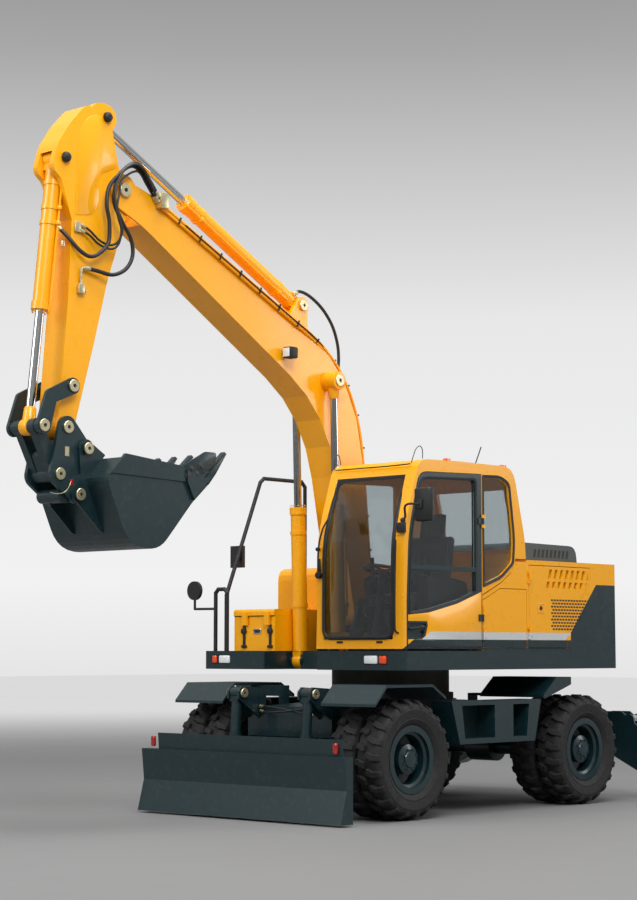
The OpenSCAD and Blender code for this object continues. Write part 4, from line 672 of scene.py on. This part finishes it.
# Barrel fittings: clamping bands, a pipe to the far chamber, bolts round the gland
# body, base, eye, y, length, radius, places of the bands, way to the pipe [across, y]
barrelRows = [("boom_barrels", boomBarrelPin, boomRodPin, 0.12, 1.44, 0.07, (0.52, 1.2), (0.9, 0.45)),
    ("boom_barrels", boomBarrelPin, boomRodPin, -0.36, 1.44, 0.07, (0.52, 1.2), (0.9, -0.45)),
    ("arm_barrel", armBarrelPin, armRodPin, armMiddle, 1.62, 0.075, (0.3, 1.42), (-0.6, 0.8)),
    ("bucket_barrel", bucketBarrelPin, bucketRodPin, armMiddle, 1.29, 0.068, (0.21, 0.42, 0.55), (-0.35, 0.94))]
bandParts = {}
for body, (x, z), (farX, farZ), y, length, radius, places, (across, outward) in barrelRows:
    start, away = at(x, y, z), Vector((farX - x, 0, farZ - z)).normalized()
    way = (Vector((-away.z, 0, away.x)) * across + Vector((0, outward, 0))).normalized()
    parts = bandParts.setdefault(body, [])
    for place in places:
        ring = [(radius - 0.004, -0.018), (radius + 0.007, -0.018), (radius + 0.007, 0.018), (radius - 0.004, 0.018)]
        parts.append(turned(ring, start + away * place, away, 32))
        middle = start + away * place + way * (radius + 0.02)
        parts.append(rod(middle - away * 0.016, middle + away * 0.016, 0.022, 14, 0.003))
    near, far = start + away * (places[0] - 0.06), start + away * (length - 0.03)
    bend = [near + way * radius, near + way * (radius + 0.014), near + way * (radius + 0.02) + away * 0.03]
    end = [far + way * (radius + 0.02) - away * 0.03, far + way * (radius + 0.014), far + way * radius]
    parts.append(tube(curvePoints(bend + end, 5), 0.01, 3))
    side = away.orthogonal().normalized()
    for index in range(10):
        turn = Matrix.Rotation(index * math.tau / 10, 3, away)
        spot = start + away * (length + 0.013) + turn @ side * (radius - 0.004)
        parts.append(rod(spot, spot + away * 0.01, 0.008, 6))
dressedAll(bandParts, "barrelFittings_", yellowEnamel)
print("cylinders dressed")

# Hoses: name, body, far body, diameter, corners in the machine's own frame
hoseRows = [("hoseArmPort", "boom", "arm", 0.034, [(3.318, 0.05, 5.372), (3.42, 0.054, 5.475), (3.52, 0.058, 5.56),
        (3.62, 0.064, 5.572), (3.735, 0.07, 5.492), (3.82, 0.1, 5.358), (3.841, 0.11, 5.213), (3.755, 0.12, 5.055),
        (3.659, 0.12, 4.928), (3.639, 0.12, 4.789), (3.703, 0.11, 4.668), (3.833, 0.09, 4.603), (3.991, 0.062, 4.62),
        (4.087, 0.035, 4.631)]),
    ("hoseBucketPort", "boom", "arm", 0.034, [(3.318, 0.082, 5.365), (3.425, 0.09, 5.48), (3.52, 0.092, 5.572),
        (3.62, 0.096, 5.592), (3.745, 0.1, 5.5), (3.872, 0.085, 5.355), (3.906, 0.09, 5.192), (3.876, 0.09, 5.042),
        (3.883, 0.09, 4.872), (3.974, 0.085, 4.767), (4.074, 0.075, 4.726), (4.17, 0.05, 4.772), (4.245, 0.01, 4.862),
        (4.312, -0.06, 4.965)]),
    ("hoseThinOne", "boom", "arm", 0.02, [(3.318, 0.05, 5.325), (3.43, 0.062, 5.44), (3.557, 0.08, 5.535),
        (3.745, 0.1, 5.43), (3.8, 0.13, 5.3), (3.83, 0.135, 5.18), (3.803, 0.135, 5.075), (3.765, 0.13, 4.988),
        (3.791, 0.11, 4.891), (3.865, 0.09, 4.85), (3.958, 0.062, 4.88), (4.051, 0.04, 4.955), (4.13, 0.024, 4.99)]),
    ("hoseThinTwo", "boom", "arm", 0.02, [(3.318, 0.08, 5.322), (3.44, 0.108, 5.47), (3.53, 0.118, 5.56),
        (3.64, 0.124, 5.575), (3.76, 0.125, 5.49), (3.85, 0.14, 5.33), (3.86, 0.15, 5.19), (3.83, 0.15, 5.08),
        (3.79, 0.145, 4.98), (3.805, 0.125, 4.86), (3.87, 0.1, 4.815), (3.97, 0.07, 4.845), (4.06, 0.045, 4.915),
        (4.14, 0.024, 4.945)]),
    ("hoseArmCylinder", "boom", None, 0.03, [(1.47, -0.055, 4.77), (1.385, -0.05, 4.8), (1.255, -0.04, 4.765),
        (1.11, -0.02, 4.665), (0.985, -0.01, 4.52), (0.905, -0.015, 4.35), (0.885, -0.02, 4.19), (0.91, -0.02, 4.06)]),
    ("hoseBladeUpper", "chassis", None, 0.016, [(1.594, 0.34, 0.96), (1.65, 0.23, 0.95), (1.662, 0.0, 0.925),
        (1.65, -0.22, 0.915), (1.594, -0.335, 0.925)]),
    ("hoseBladeLower", "chassis", None, 0.016, [(1.594, 0.345, 0.905), (1.628, 0.24, 0.905), (1.632, 0.0, 0.945),
        (1.628, -0.23, 0.965), (1.594, -0.34, 0.965)])]
collars = {}
for name, body, farBody, diameter, corners in hoseRows:
    line = [at(*c) for c in corners]
    hose(name, line, diameter, body, farBody)
    for end, after, place in ((line[0], line[1], body), (line[-1], line[-2], farBody or body)):
        way = (after - end).normalized()
        collars.setdefault(place, []).append(rod(end - way * 0.012, end + way * 0.045, diameter / 2 + 0.005, 14, 0.002))
        collars[place].append(rod(end - way * 0.016, end - way * 0.002, diameter / 2 + 0.008, 6, 0.001))
# Plated ports: manifold on the boom, blocks and an elbow on the arm's side
collars["boom"].append(box(at(3.21, 0.03, 5.262), at(3.306, 0.114, 5.395), 0.006))
elbow = [(4.095, 0.034, 4.632), (4.122, 0.03, 4.62), (4.128, 0.028, 4.58), (4.128, 0.026, 4.49)]
collars["arm"] += [tube(pathOf(elbow, 6), 0.013), box(at(4.098, 0.008, 4.412), at(4.16, 0.05, 4.492), 0.006),
    rod(at(4.098, 0.028, 4.44), at(4.07, 0.028, 4.44), 0.012, 12, 0.002),
    box(at(4.135, 0.008, 4.925), at(4.195, 0.036, 5.012), 0.005),
    box(at(4.3, 0.006, 4.78), at(4.33, 0.026, 4.83), 0.004)]
dressedAll(collars, "hoseFittings_", zincPlate)
print("hoses made")

# Pressed stiffeners on both faces of the arm's upper end
stiffener = [(3.948, 5.972, 0.06), (4.051, 5.927, 0.05), (4.132, 5.823, 0.05), (4.161, 5.69, 0.05), (4.177, 5.416, 0.0),
    (4.188, 5.066, 0.03), (3.985, 5.102, 0.05), (3.917, 5.238, 0.05), (3.939, 5.362, 0.05), (3.909, 5.464, 0.04),
    (3.735, 5.545, 0.03), (3.814, 5.852, 0.05), (3.864, 5.932, 0.03)]
armFaces = [sidePlate(eased(stiffener), y, 0.0045, 0.002) for y in (0.0095, -0.254)]
dressed(armFaces, "armStiffeners", "arm", yellowEnamel, 60)


def seal(rows, y, width, depth):
    # Flat rubber frame round a window: four rings of corners between its outline and the outline grown by width
    turning = sum(a[0] * b[1] - b[0] * a[1] for a, b in zip(rows, rows[1:] + rows[:1]))
    inner, outer = eased(rows), eased(grown(rows, math.copysign(width, turning)))
    rings = [(inner, y), (inner, y + depth * 0.6), (outer, y + depth), (outer, y), (inner, y)]
    corners = [at(x, height, z) for line, height in rings for x, z in line]
    piece = outlined(corners[:len(inner)], "NOTHING")
    inEdit(piece, *[pushed((0, 0, 0))] * (len(rings) - 1))
    for vertex, corner in zip(piece.data.vertices, corners):
        vertex.co = corner
    inEdit(piece, mergedCorners, facesOut)
    return softened(piece, 0.002, 1)


# Cab door: yellow lower panel, seals, handle
cabFacts = {"outer": 1.245, "inner": 0.22}
doorWindow = [(0.428, 2.01, 0), (0.7, 1.925, 0), (1.1, 1.84, 0.06), (1.35, 1.815, 0.02), (1.325, 2.48, 0.12),
    (1.19, 2.99, 0.09), (0.428, 3.02, 0.04)]
quarterWindow = [(0.295, 2.085, 0.02), (0.295, 3.05, 0.02), (0.06, 3.06, 0.06), (-0.07, 3.01, 0.06),
    (-0.14, 2.499, 0.1), (-0.12, 2.29, 0.04), (0.06, 2.16, 0.06)]
rightWindow = [(0.38, 1.64, 0.04), (1.33, 1.64, 0.04), (1.31, 2.48, 0.12), (1.17, 3.0, 0.08), (0.38, 3.02, 0.04)]
panelOutline = [(0.35, 1.51), (1.388, 1.51), (1.388, 1.57), (1.2, 1.573), (1.15, 1.6), (1.118, 1.69),
    (1.128, 1.73), (1.388, 1.73), (1.388, 1.784), (1.1, 1.808), (0.7, 1.893), (0.35, 2.004)]
doorPanel = sidePlate(panelOutline, cabFacts["outer"] + 0.0002, 0.0035, 0.0012)
dressed(doorPanel, "doorPanel", "cab_door", yellowEnamel)
dressed([seal(doorWindow, cabFacts["outer"] - 0.004, 0.022, 0.01)], "doorSeal", "cab_door", plastic)
dressed([seal(quarterWindow, cabFacts["outer"] - 0.004, 0.03, 0.009),
    seal(rightWindow, cabFacts["inner"] + 0.004, 0.02, -0.009)], "cabSideSeals", "upper", plastic)
grip = [(1.175, 1.246, 1.684), (1.21, 1.262, 1.68), (1.28, 1.266, 1.672), (1.345, 1.262, 1.664), (1.365, 1.246, 1.658)]
handle = [tube(pathOf(grip, 6), 0.011), rod(at(1.165, 1.226, 1.64), at(1.165, 1.25, 1.64), 0.014, 20, 0.002)]
dressed(handle, "doorHandle", "cab_door", plastic)

# Windscreen seal: a black frame on the cab's front, over the glass edge
screenFacts = {"low": (0.311, 1.585), "high": (1.125, 3.015), "corner": 0.075, "steps": 5, "spacing": 0.08}
screenSide = [(1.56, 1.448), (1.77, 1.4485), (2.05, 1.446), (2.3, 1.4425), (2.44, 1.433), (2.56, 1.408),
    (2.7, 1.365), (2.86, 1.301), (3.04, 1.23)]


def screenAt(y, z, lift):
    # On the bowed front at that height, lifted off it by lift
    for (z0, x0), (z1, x1) in zip(screenSide, screenSide[1:]):
        if z <= z1 or z1 == screenSide[-1][0]:
            x = x0 + (x1 - x0) * (z - z0) / (z1 - z0)
            along = Vector((x1 - x0, 0, z1 - z0)).normalized()
            return at(x, y, z) + Vector((along.z, 0, -along.x)) * lift


corner, count = screenFacts["corner"], screenFacts["steps"]
(lowY, lowZ), (highY, highZ) = screenFacts["low"], screenFacts["high"]
frameLine = []
for cy, cz, start in ((lowY + corner, lowZ + corner, 180), (highY - corner, lowZ + corner, 270),
        (highY - corner, highZ - corner, 0), (lowY + corner, highZ - corner, 90)):
    for k in range(count + 1):
        angle = math.radians(start + 90 * k / count)
        frameLine.append((cy + corner * math.cos(angle), cz + corner * math.sin(angle)))
dense = []
for (y0, z0), (y1, z1) in zip(frameLine, frameLine[1:] + frameLine[:1]):
    parts = max(1, round(math.hypot(y1 - y0, z1 - z0) / screenFacts["spacing"]))
    dense += [(y0 + (y1 - y0) * k / parts, z0 + (z1 - z0) * k / parts) for k in range(parts)]
loop = [screenAt(y, z, 0.004) for y, z in dense]
screenSeal = [tube(loop + loop[:2], 0.019, 3)]
for y in (0.505, 0.974):
    screenSeal.append(box(at(1.444, y - 0.035, 1.538), at(1.462, y + 0.035, 1.556), 0.003))
dressed(screenSeal, "screenSeal", "upper", plastic, 50)

# Wiper on the right-hand pillar, parked upright
wiper = [rod(at(1.452, 0.262, 2.15), at(1.492, 0.262, 2.15), 0.03, 20, 0.004),
    rod(at(1.452, 0.262, 2.12), at(1.47, 0.262, 2.3), 0.016, 12, 0.003),
    tube(pathOf([(1.482, 0.262, 2.15), (1.48, 0.268, 2.39), (1.462, 0.3, 2.56), (1.43, 0.335, 2.65)], 8), 0.008),
    tube([screenAt(0.337 + 0.012 * k / 20, 2.0 + 0.86 * k / 20, 0.03) for k in range(21)], 0.01),
    rod(at(1.452, 0.25, 2.385), at(1.488, 0.256, 2.385), 0.018, 14, 0.003)]
dressed(wiper, "wiper", "upper", plastic)

# Left mirror on its bent arm, grab bar and stop block on the front pillar
mirrorHead = box(at(1.405, 1.372, 2.59), at(1.46, 1.56, 2.885), 0.022)
mirrorArm = [(1.428, 1.225, 2.61), (1.44, 1.262, 2.64), (1.468, 1.282, 2.72), (1.478, 1.33, 2.745), (1.478, 1.4, 2.743),
    (1.474, 1.45, 2.74)]
grabBar = [(1.44, 1.19, 1.62), (1.475, 1.178, 1.64), (1.482, 1.172, 1.72), (1.478, 1.172, 2.1), (1.47, 1.176, 2.44)]
mirror = [softened(mirrorHead, 0.006, 2), box(at(1.455, 1.42, 2.7), at(1.476, 1.48, 2.78), 0.006),
    tube(pathOf(mirrorArm, 8), 0.01), rod(at(1.42, 1.215, 2.61), at(1.445, 1.24, 2.612), 0.022, 16, 0.003),
    box(at(1.425, 1.18, 2.5), at(1.462, 1.262, 2.59), 0.006), tube(pathOf(grabBar, 8), 0.009)]
dressed(mirror, "leftMirror", "upper", plastic)
dressed([box(at(1.402, 1.38, 2.598), at(1.407, 1.552, 2.877), 0.0)], "leftMirrorGlass", "upper", chrome)

# Roof: cable loops, cable along the front edge, antenna
roofCables = [("roofCableRight", [(1.17, 0.262, 3.176), (1.185, 0.262, 3.24), (1.215, 0.268, 3.262),
        (1.255, 0.27, 3.215), (1.262, 0.27, 3.15), (1.256, 0.272, 3.108)]),
    ("roofCableLeft", [(1.13, 1.205, 3.176), (1.13, 1.205, 3.25), (1.165, 1.205, 3.285), (1.215, 1.2, 3.255),
        (1.245, 1.195, 3.19), (1.262, 1.185, 3.128)])]
for name, corners in roofCables:
    hose(name, [at(*c) for c in corners], 0.008, "upper")
roofEdge = [(1.2585, 0.29, 3.116), (1.2585, 0.6, 3.116), (1.2585, 0.9, 3.116), (1.2585, 1.17, 3.122)]
antenna = [rod(at(-0.004, 0.9, 3.176), at(-0.004, 0.9, 3.204), 0.024, 20, 0.004),
    rod(at(-0.004, 0.9, 3.196), at(-0.11, 0.9, 3.392), 0.0055, 8)]
dressed([tube(pathOf(roofEdge, 4), 0.006)] + antenna, "roofTrim", "upper", plastic)
print("cab trim made")

# Lamps: moulded polycarbonate, glassy, its shine broken by fine ribs; the clear and amber ones glow a little
lensFacts = {"slot": "glass", "values": {"IOR": 1.58, "Coat Weight": 0.8}, "patch": 0.02, "gloss": (0.01, 0.06, 0.15),
    "grain": ("TexVoronoi", 0.01, 0.0012, "Distance")}
clearLens = addFinish("clearPolycarbonate", {**lensFacts,
    "values": {"IOR": 1.58, "Coat Weight": 0.6, "Emission Color": colour("#FFFFFF"), "Emission Strength": 0.15},
    "colours": ("#E4E8EA", "#BFC6C9"), "gloss": (0.01, 0.05, 0.15), "grain": ("TexVoronoi", 0.012, 0.0012, "Distance")})
amberLens = addFinish("amberPolycarbonate", {**lensFacts,
    "values": {**lensFacts["values"], "Emission Color": colour("#FF5A10"), "Emission Strength": 0.1},
    "colours": ("#F0490E", "#D93A08")})
redLens = addFinish("redPolycarbonate", {**lensFacts, "colours": ("#B3130F", "#8E0D0B")})
# Front lamps between the fenders and the cab: y from and to, colour
lampFacts = {"front": 1.446, "depth": 0.022, "low": 1.356, "high": 1.428, "gap": 0.007}
lensRows = [(-1.12, -1.052, "amber"), (-1.03, -0.878, "clear"), (0.791, 0.954, "clear"), (0.966, 1.06, "amber")]
lensParts = {"clear": [], "amber": []}
for y0, y1, kind in lensRows:
    lensParts[kind].append(box(at(lampFacts["front"], y0 + lampFacts["gap"], lampFacts["low"]),
        at(lampFacts["front"] + lampFacts["depth"], y1 - lampFacts["gap"], lampFacts["high"]), 0.012))
# Small markers on the roof, then the work lamp on the boom
for x, y, z in ((0.754, 0.9, 3.182), (-0.3, 0.9, 3.182), (0.754, 1.18, 3.182), (-0.06, 1.19, 3.176)):
    lensParts["amber"].append(box(at(x - 0.035, y - 0.02, z - 0.006), at(x + 0.035, y + 0.02, z + 0.022), 0.008))
workLamp = at(1.7, 0.115, 4.175)
workLens = box(workLamp + Vector((0.044, -0.04, -0.04)), workLamp + Vector((0.052, 0.04, 0.04)))
dressed(workLens, "workLampLens", "boom", clearLens)
dressed(lensParts["clear"], "clearLenses", "upper", clearLens)
dressed(lensParts["amber"], "amberLenses", "upper", amberLens)
workBody = [box(workLamp + Vector((-0.06, -0.052, -0.052)), workLamp + Vector((0.045, 0.052, 0.052)), 0.014),
    rod(workLamp + Vector((-0.01, 0.0, 0.0)), workLamp + Vector((-0.01, -0.08, 0.0)), 0.018, 16)]
dressed(workBody, "workLampBody", "boom", plastic)
lampBend = [workLamp + Vector(reach) for reach in ((-0.05, -0.01, 0.01), (-0.12, -0.02, 0.035), (-0.2, -0.09, 0.062))]
dressed(tube(curvePoints(lampBend, 6), 0.013), "workLampArm", "boom", yellowEnamel)
bladeLamps = [box(at(2.186, s * 1.125 - 0.026, 0.6), at(2.214, s * 1.125 + 0.026, 0.695), 0.012) for s in (-1, 1)]
dressed(bladeLamps, "bladeLamps", "blade", redLens)
print("lamps made")

# Digging edge: wedge caps over the teeth, side cutters with their bolts
toothFacts = {"lip": (2.971, 2.889), "tip": (-0.262, 0.272), "first": -0.53, "pitch": 0.205, "count": 5, "width": 0.078}
# A cap's side view along and across the tooth; from 0.15 m on it narrows towards its tip at 0.384 m
capRows = [(0.03, -0.036), (0.02, 0.036), (0.15, 0.03), (0.384, 0.004), (0.384, -0.004), (0.15, -0.03)]
reach = Vector(toothFacts["tip"]).normalized()
lipX, lipZ = toothFacts["lip"]
caps = []
for index in range(toothFacts["count"]):
    middle = toothFacts["first"] + index * toothFacts["pitch"]
    corners = [(lipX + reach.x * u - reach.y * v, lipZ + reach.y * u + reach.x * v) for u, v in capRows]
    cap = sidePlate(corners, middle - toothFacts["width"] / 2, toothFacts["width"], 0.004)
    for vertex in cap.data.vertices:
        away = vertex.co - at(lipX, middle, lipZ)
        along = away.x * reach.x + away.z * reach.y
        vertex.co.y = middle + (vertex.co.y - middle) * (1.0 - 0.35 * min(1.0, max(0.0, (along - 0.15) / 0.234)))
    caps.append(cap)
cutter = [(3.229, 3.032, 0.01), (2.987, 3.16, 0.02), (2.85, 3.16, 0.03), (2.87, 3.043, 0.05), (2.995, 2.968, 0.03),
    (3.08, 2.918, 0.01), (3.226, 2.914, 0.01)]
bolts = []
for y, s in ((0.33, 1), (-0.57, -1)):
    caps.append(sidePlate(eased(cutter), y - 0.001 if s > 0 else y - 0.013, 0.014, 0.003))
    for x, z in ((3.147, 3.0), (3.04, 3.03), (3.185, 2.945), (3.088, 2.96)):
        bolts.append(rod(at(x, y + s * 0.01, z), at(x, y + s * 0.016, z), 0.03, 24, 0.002))
        bolts.append(rod(at(x, y + s * 0.014, z), at(x, y + s * 0.028, z), 0.019, 6, 0.002))
dressed(caps, "toothCaps", "bucket", workEnamel)
dressed(bolts, "cutterBolts", "bucket", castIron)
# Safety tag on its wire, and a blank plate, on the coupler's side
dressed(box(at(4.206, 0.05, 2.815), at(4.24, 0.053, 2.862), 0.0), "couplerTag", "bucket", redLens)
tagWire = [(4.223, 0.05, 2.858), (4.25, 0.053, 2.8), (4.3, 0.053, 2.752), (4.38, 0.053, 2.735), (4.44, 0.048, 2.745)]
couplerPlate = box(at(4.25, 0.048, 3.05), at(4.294, 0.05, 3.128), 0.0)
dressed([couplerPlate, tube(pathOf(tagWire, 6), 0.003)], "couplerPlate", "bucket", zincPlate)

# Toolbox and tank trim
dressed(box(at(1.3004, -0.976, 1.793), at(1.308, -0.454, 1.8003), 0.002), "toolboxSeal", "upper", plastic)
latches = []
for y in (-0.845, -0.503):
    latches += [box(at(1.299, y - 0.014, 1.5), at(1.313, y + 0.014, 1.715), 0.004),
        box(at(1.299, y - 0.03, 1.498), at(1.319, y + 0.03, 1.524), 0.005),
        rod(at(1.299, y, 1.655), at(1.323, y, 1.655), 0.03, 24, 0.004)]
dressed(latches, "toolboxLatches", "upper", plastic)
escutcheon = softened(box(at(1.2995, -0.726, 1.628), at(1.306, -0.622, 1.676), 0.0), 0.0025)
dressed(escutcheon, "toolboxHandle", "upper", chrome)
dressed(box(at(1.305, -0.71, 1.638), at(1.3068, -0.638, 1.666), 0.0), "toolboxGrip", "upper", plastic)
capOutline = [(0.0, 0.0), (0.08, 0.0), (0.08, 0.03), (0.072, 0.04), (0.03, 0.046), (0.0, 0.046)]
dressed(turned(capOutline, at(0.08, -0.85, 2.278), (0, 0, 1), 36), "tankCap", "upper", plastic)

# Side doors: perforated field with its holes drawn as thin dark plates of painted shade, a dark sheet of painted shade
# behind the vents, lock in its frame
sideFacts = {"columns": 14, "rows": 10, "x": -0.77, "z": 1.95, "stepX": 0.0455, "stepZ": 0.0305, "shift": 0.0228,
    "face": 1.2408}
# One hole; the slanted rear edge of the field: x at a height, how far it moves per metre of height
holeOutline = [(-0.015, -0.0085), (0.011, -0.0085), (0.016, 0.0), (0.011, 0.0085), (-0.015, 0.0085), (-0.018, 0.0)]
rearEdge = {"x": -1.138, "z": 1.69, "slant": 0.86}
lockProfile = [(0.0, 0.0), (0.02, 0.0), (0.02, 0.004), (0.016, 0.007), (0.0, 0.007)]
for name, body, s in (("left", "side_door_rear", 1), ("right", "right_door", -1)):
    # Each hole is a thin dark plate on the door's face: painted shade in the hole
    hole = plate([(x, 0, z) for x, z in holeOutline], (0, 0.0016, 0))
    holeShades = []
    for row in range(sideFacts["rows"]):
        for column in range(sideFacts["columns"]):
            z = sideFacts["z"] - row * sideFacts["stepZ"]
            x = sideFacts["x"] - column * sideFacts["stepX"] + (0.0 if row % 2 else sideFacts["shift"])
            if x >= rearEdge["x"] - (z - rearEdge["z"]) * rearEdge["slant"]:
                holeShades.append(copied(hole, Matrix.Translation(at(x, s * sideFacts["face"] - 0.0008, z))))
    bpy.data.objects.remove(hole)
    # A dark sheet behind the vents: painted shade seen through them
    ventShadeSheet = box(at(-1.5, s * 1.1955, 2.05), at(-0.56, s * 1.199, 2.262), 0.0)
    lock = turned(lockProfile, at(-0.571, s * 1.2402, 1.871), (0, s, 0), 24)
    # The painted shade of the holes and the vents, with the lock, as one piece
    dressed(holeShades + [ventShadeSheet, lock], "sideGrilleShadeAndLock_" + name, body, plastic)
    frameBox = box(at(-0.62, s * 1.2396, 1.825), at(-0.52, s * 1.2436, 1.917), 0.0015)
    hollow = box(at(-0.612, s * 1.23, 1.833), at(-0.528, s * 1.25, 1.909), 0.0)
    applied(frameBox, "BOOLEAN", object=hollow, operation="DIFFERENCE", solver="EXACT")
    bpy.data.objects.remove(hollow)
    dressed(frameBox, "lockFrame_" + name, body, yellowEnamel)
# Hood: pressed louvre openings on both faces, drawn as dark plates of painted shade
louvreShades = []
for s in (-1, 1):
    for k in range(9):
        x = -1.16 - k * 0.068
        # Each opening is a slanted dark plate: painted shade
        slot = [(x, 2.392), (x - 0.036, 2.392), (x - 0.052, 2.47), (x - 0.016, 2.47)]
        louvreShades.append(sidePlate(slot, s * 0.7195 - 0.002, 0.004))
dressed(louvreShades, "hoodLouvreShade", "engine_hood", plastic)
print("body trim made")

# Operator's seat: crowned cushions over the CAD blocks
upholstery = addFinish("wovenSeatCloth", {"slot": "black_trim",
    "values": {"Sheen Weight": 0.4, "Sheen Roughness": 0.5, "Specular IOR Level": 0.3},
    "colours": ("#2B2E31", "#34383B"), "patch": 0.06, "gloss": (0.02, 0.75, 0.92),
    "grain": ("TexVoronoi", 0.0035, 0.0005, "Distance")})
# name, middle, size, lean
seatRows = [("seatCushion", (0.745, 0.7325, 1.925), (0.56, 0.51, 0.15), 0.0),
    ("seatBack", (0.478, 0.7325, 2.225), (0.13, 0.48, 0.57), 0.19),
    ("headRest", (0.412, 0.7325, 2.62), (0.1, 0.26, 0.22), 0.1)]
for name, middle, size, lean in seatRows:
    deselect()
    bpy.ops.mesh.primitive_cube_add(size=1, location=(0, 0, 0))
    pad = bpy.context.object
    pad.scale = size
    settle(pad)
    inEdit(pad, (bpy.ops.mesh.subdivide, {"number_cuts": 9, "smoothness": 0.0}))
    thin = size.index(min(size))
    first, second = (k for k in range(3) if k != thin)
    for vertex in pad.data.vertices:
        # Thick in the middle, thin at the rim, its sides a little drawn in
        share = [abs(vertex.co[k]) / (size[k] / 2) for k in range(3)]
        crown = (1 - share[first] ** 2.6) * (1 - share[second] ** 2.6)
        vertex.co[thin] *= 0.62 + 0.38 * crown
        for k, other in ((first, second), (second, first)):
            vertex.co[k] *= 1.0 - 0.03 * (1 - share[other] ** 2)
    softened(pad, 0.012, 2, 50)
    applied(pad, "SUBSURF", levels=1, render_levels=1)
    pad.data.transform(Matrix.Translation(at(*middle)) @ Matrix.Rotation(-lean, 4, "Y"))
    dressed(pad, name, "upper", upholstery, 60)
print("seat made")
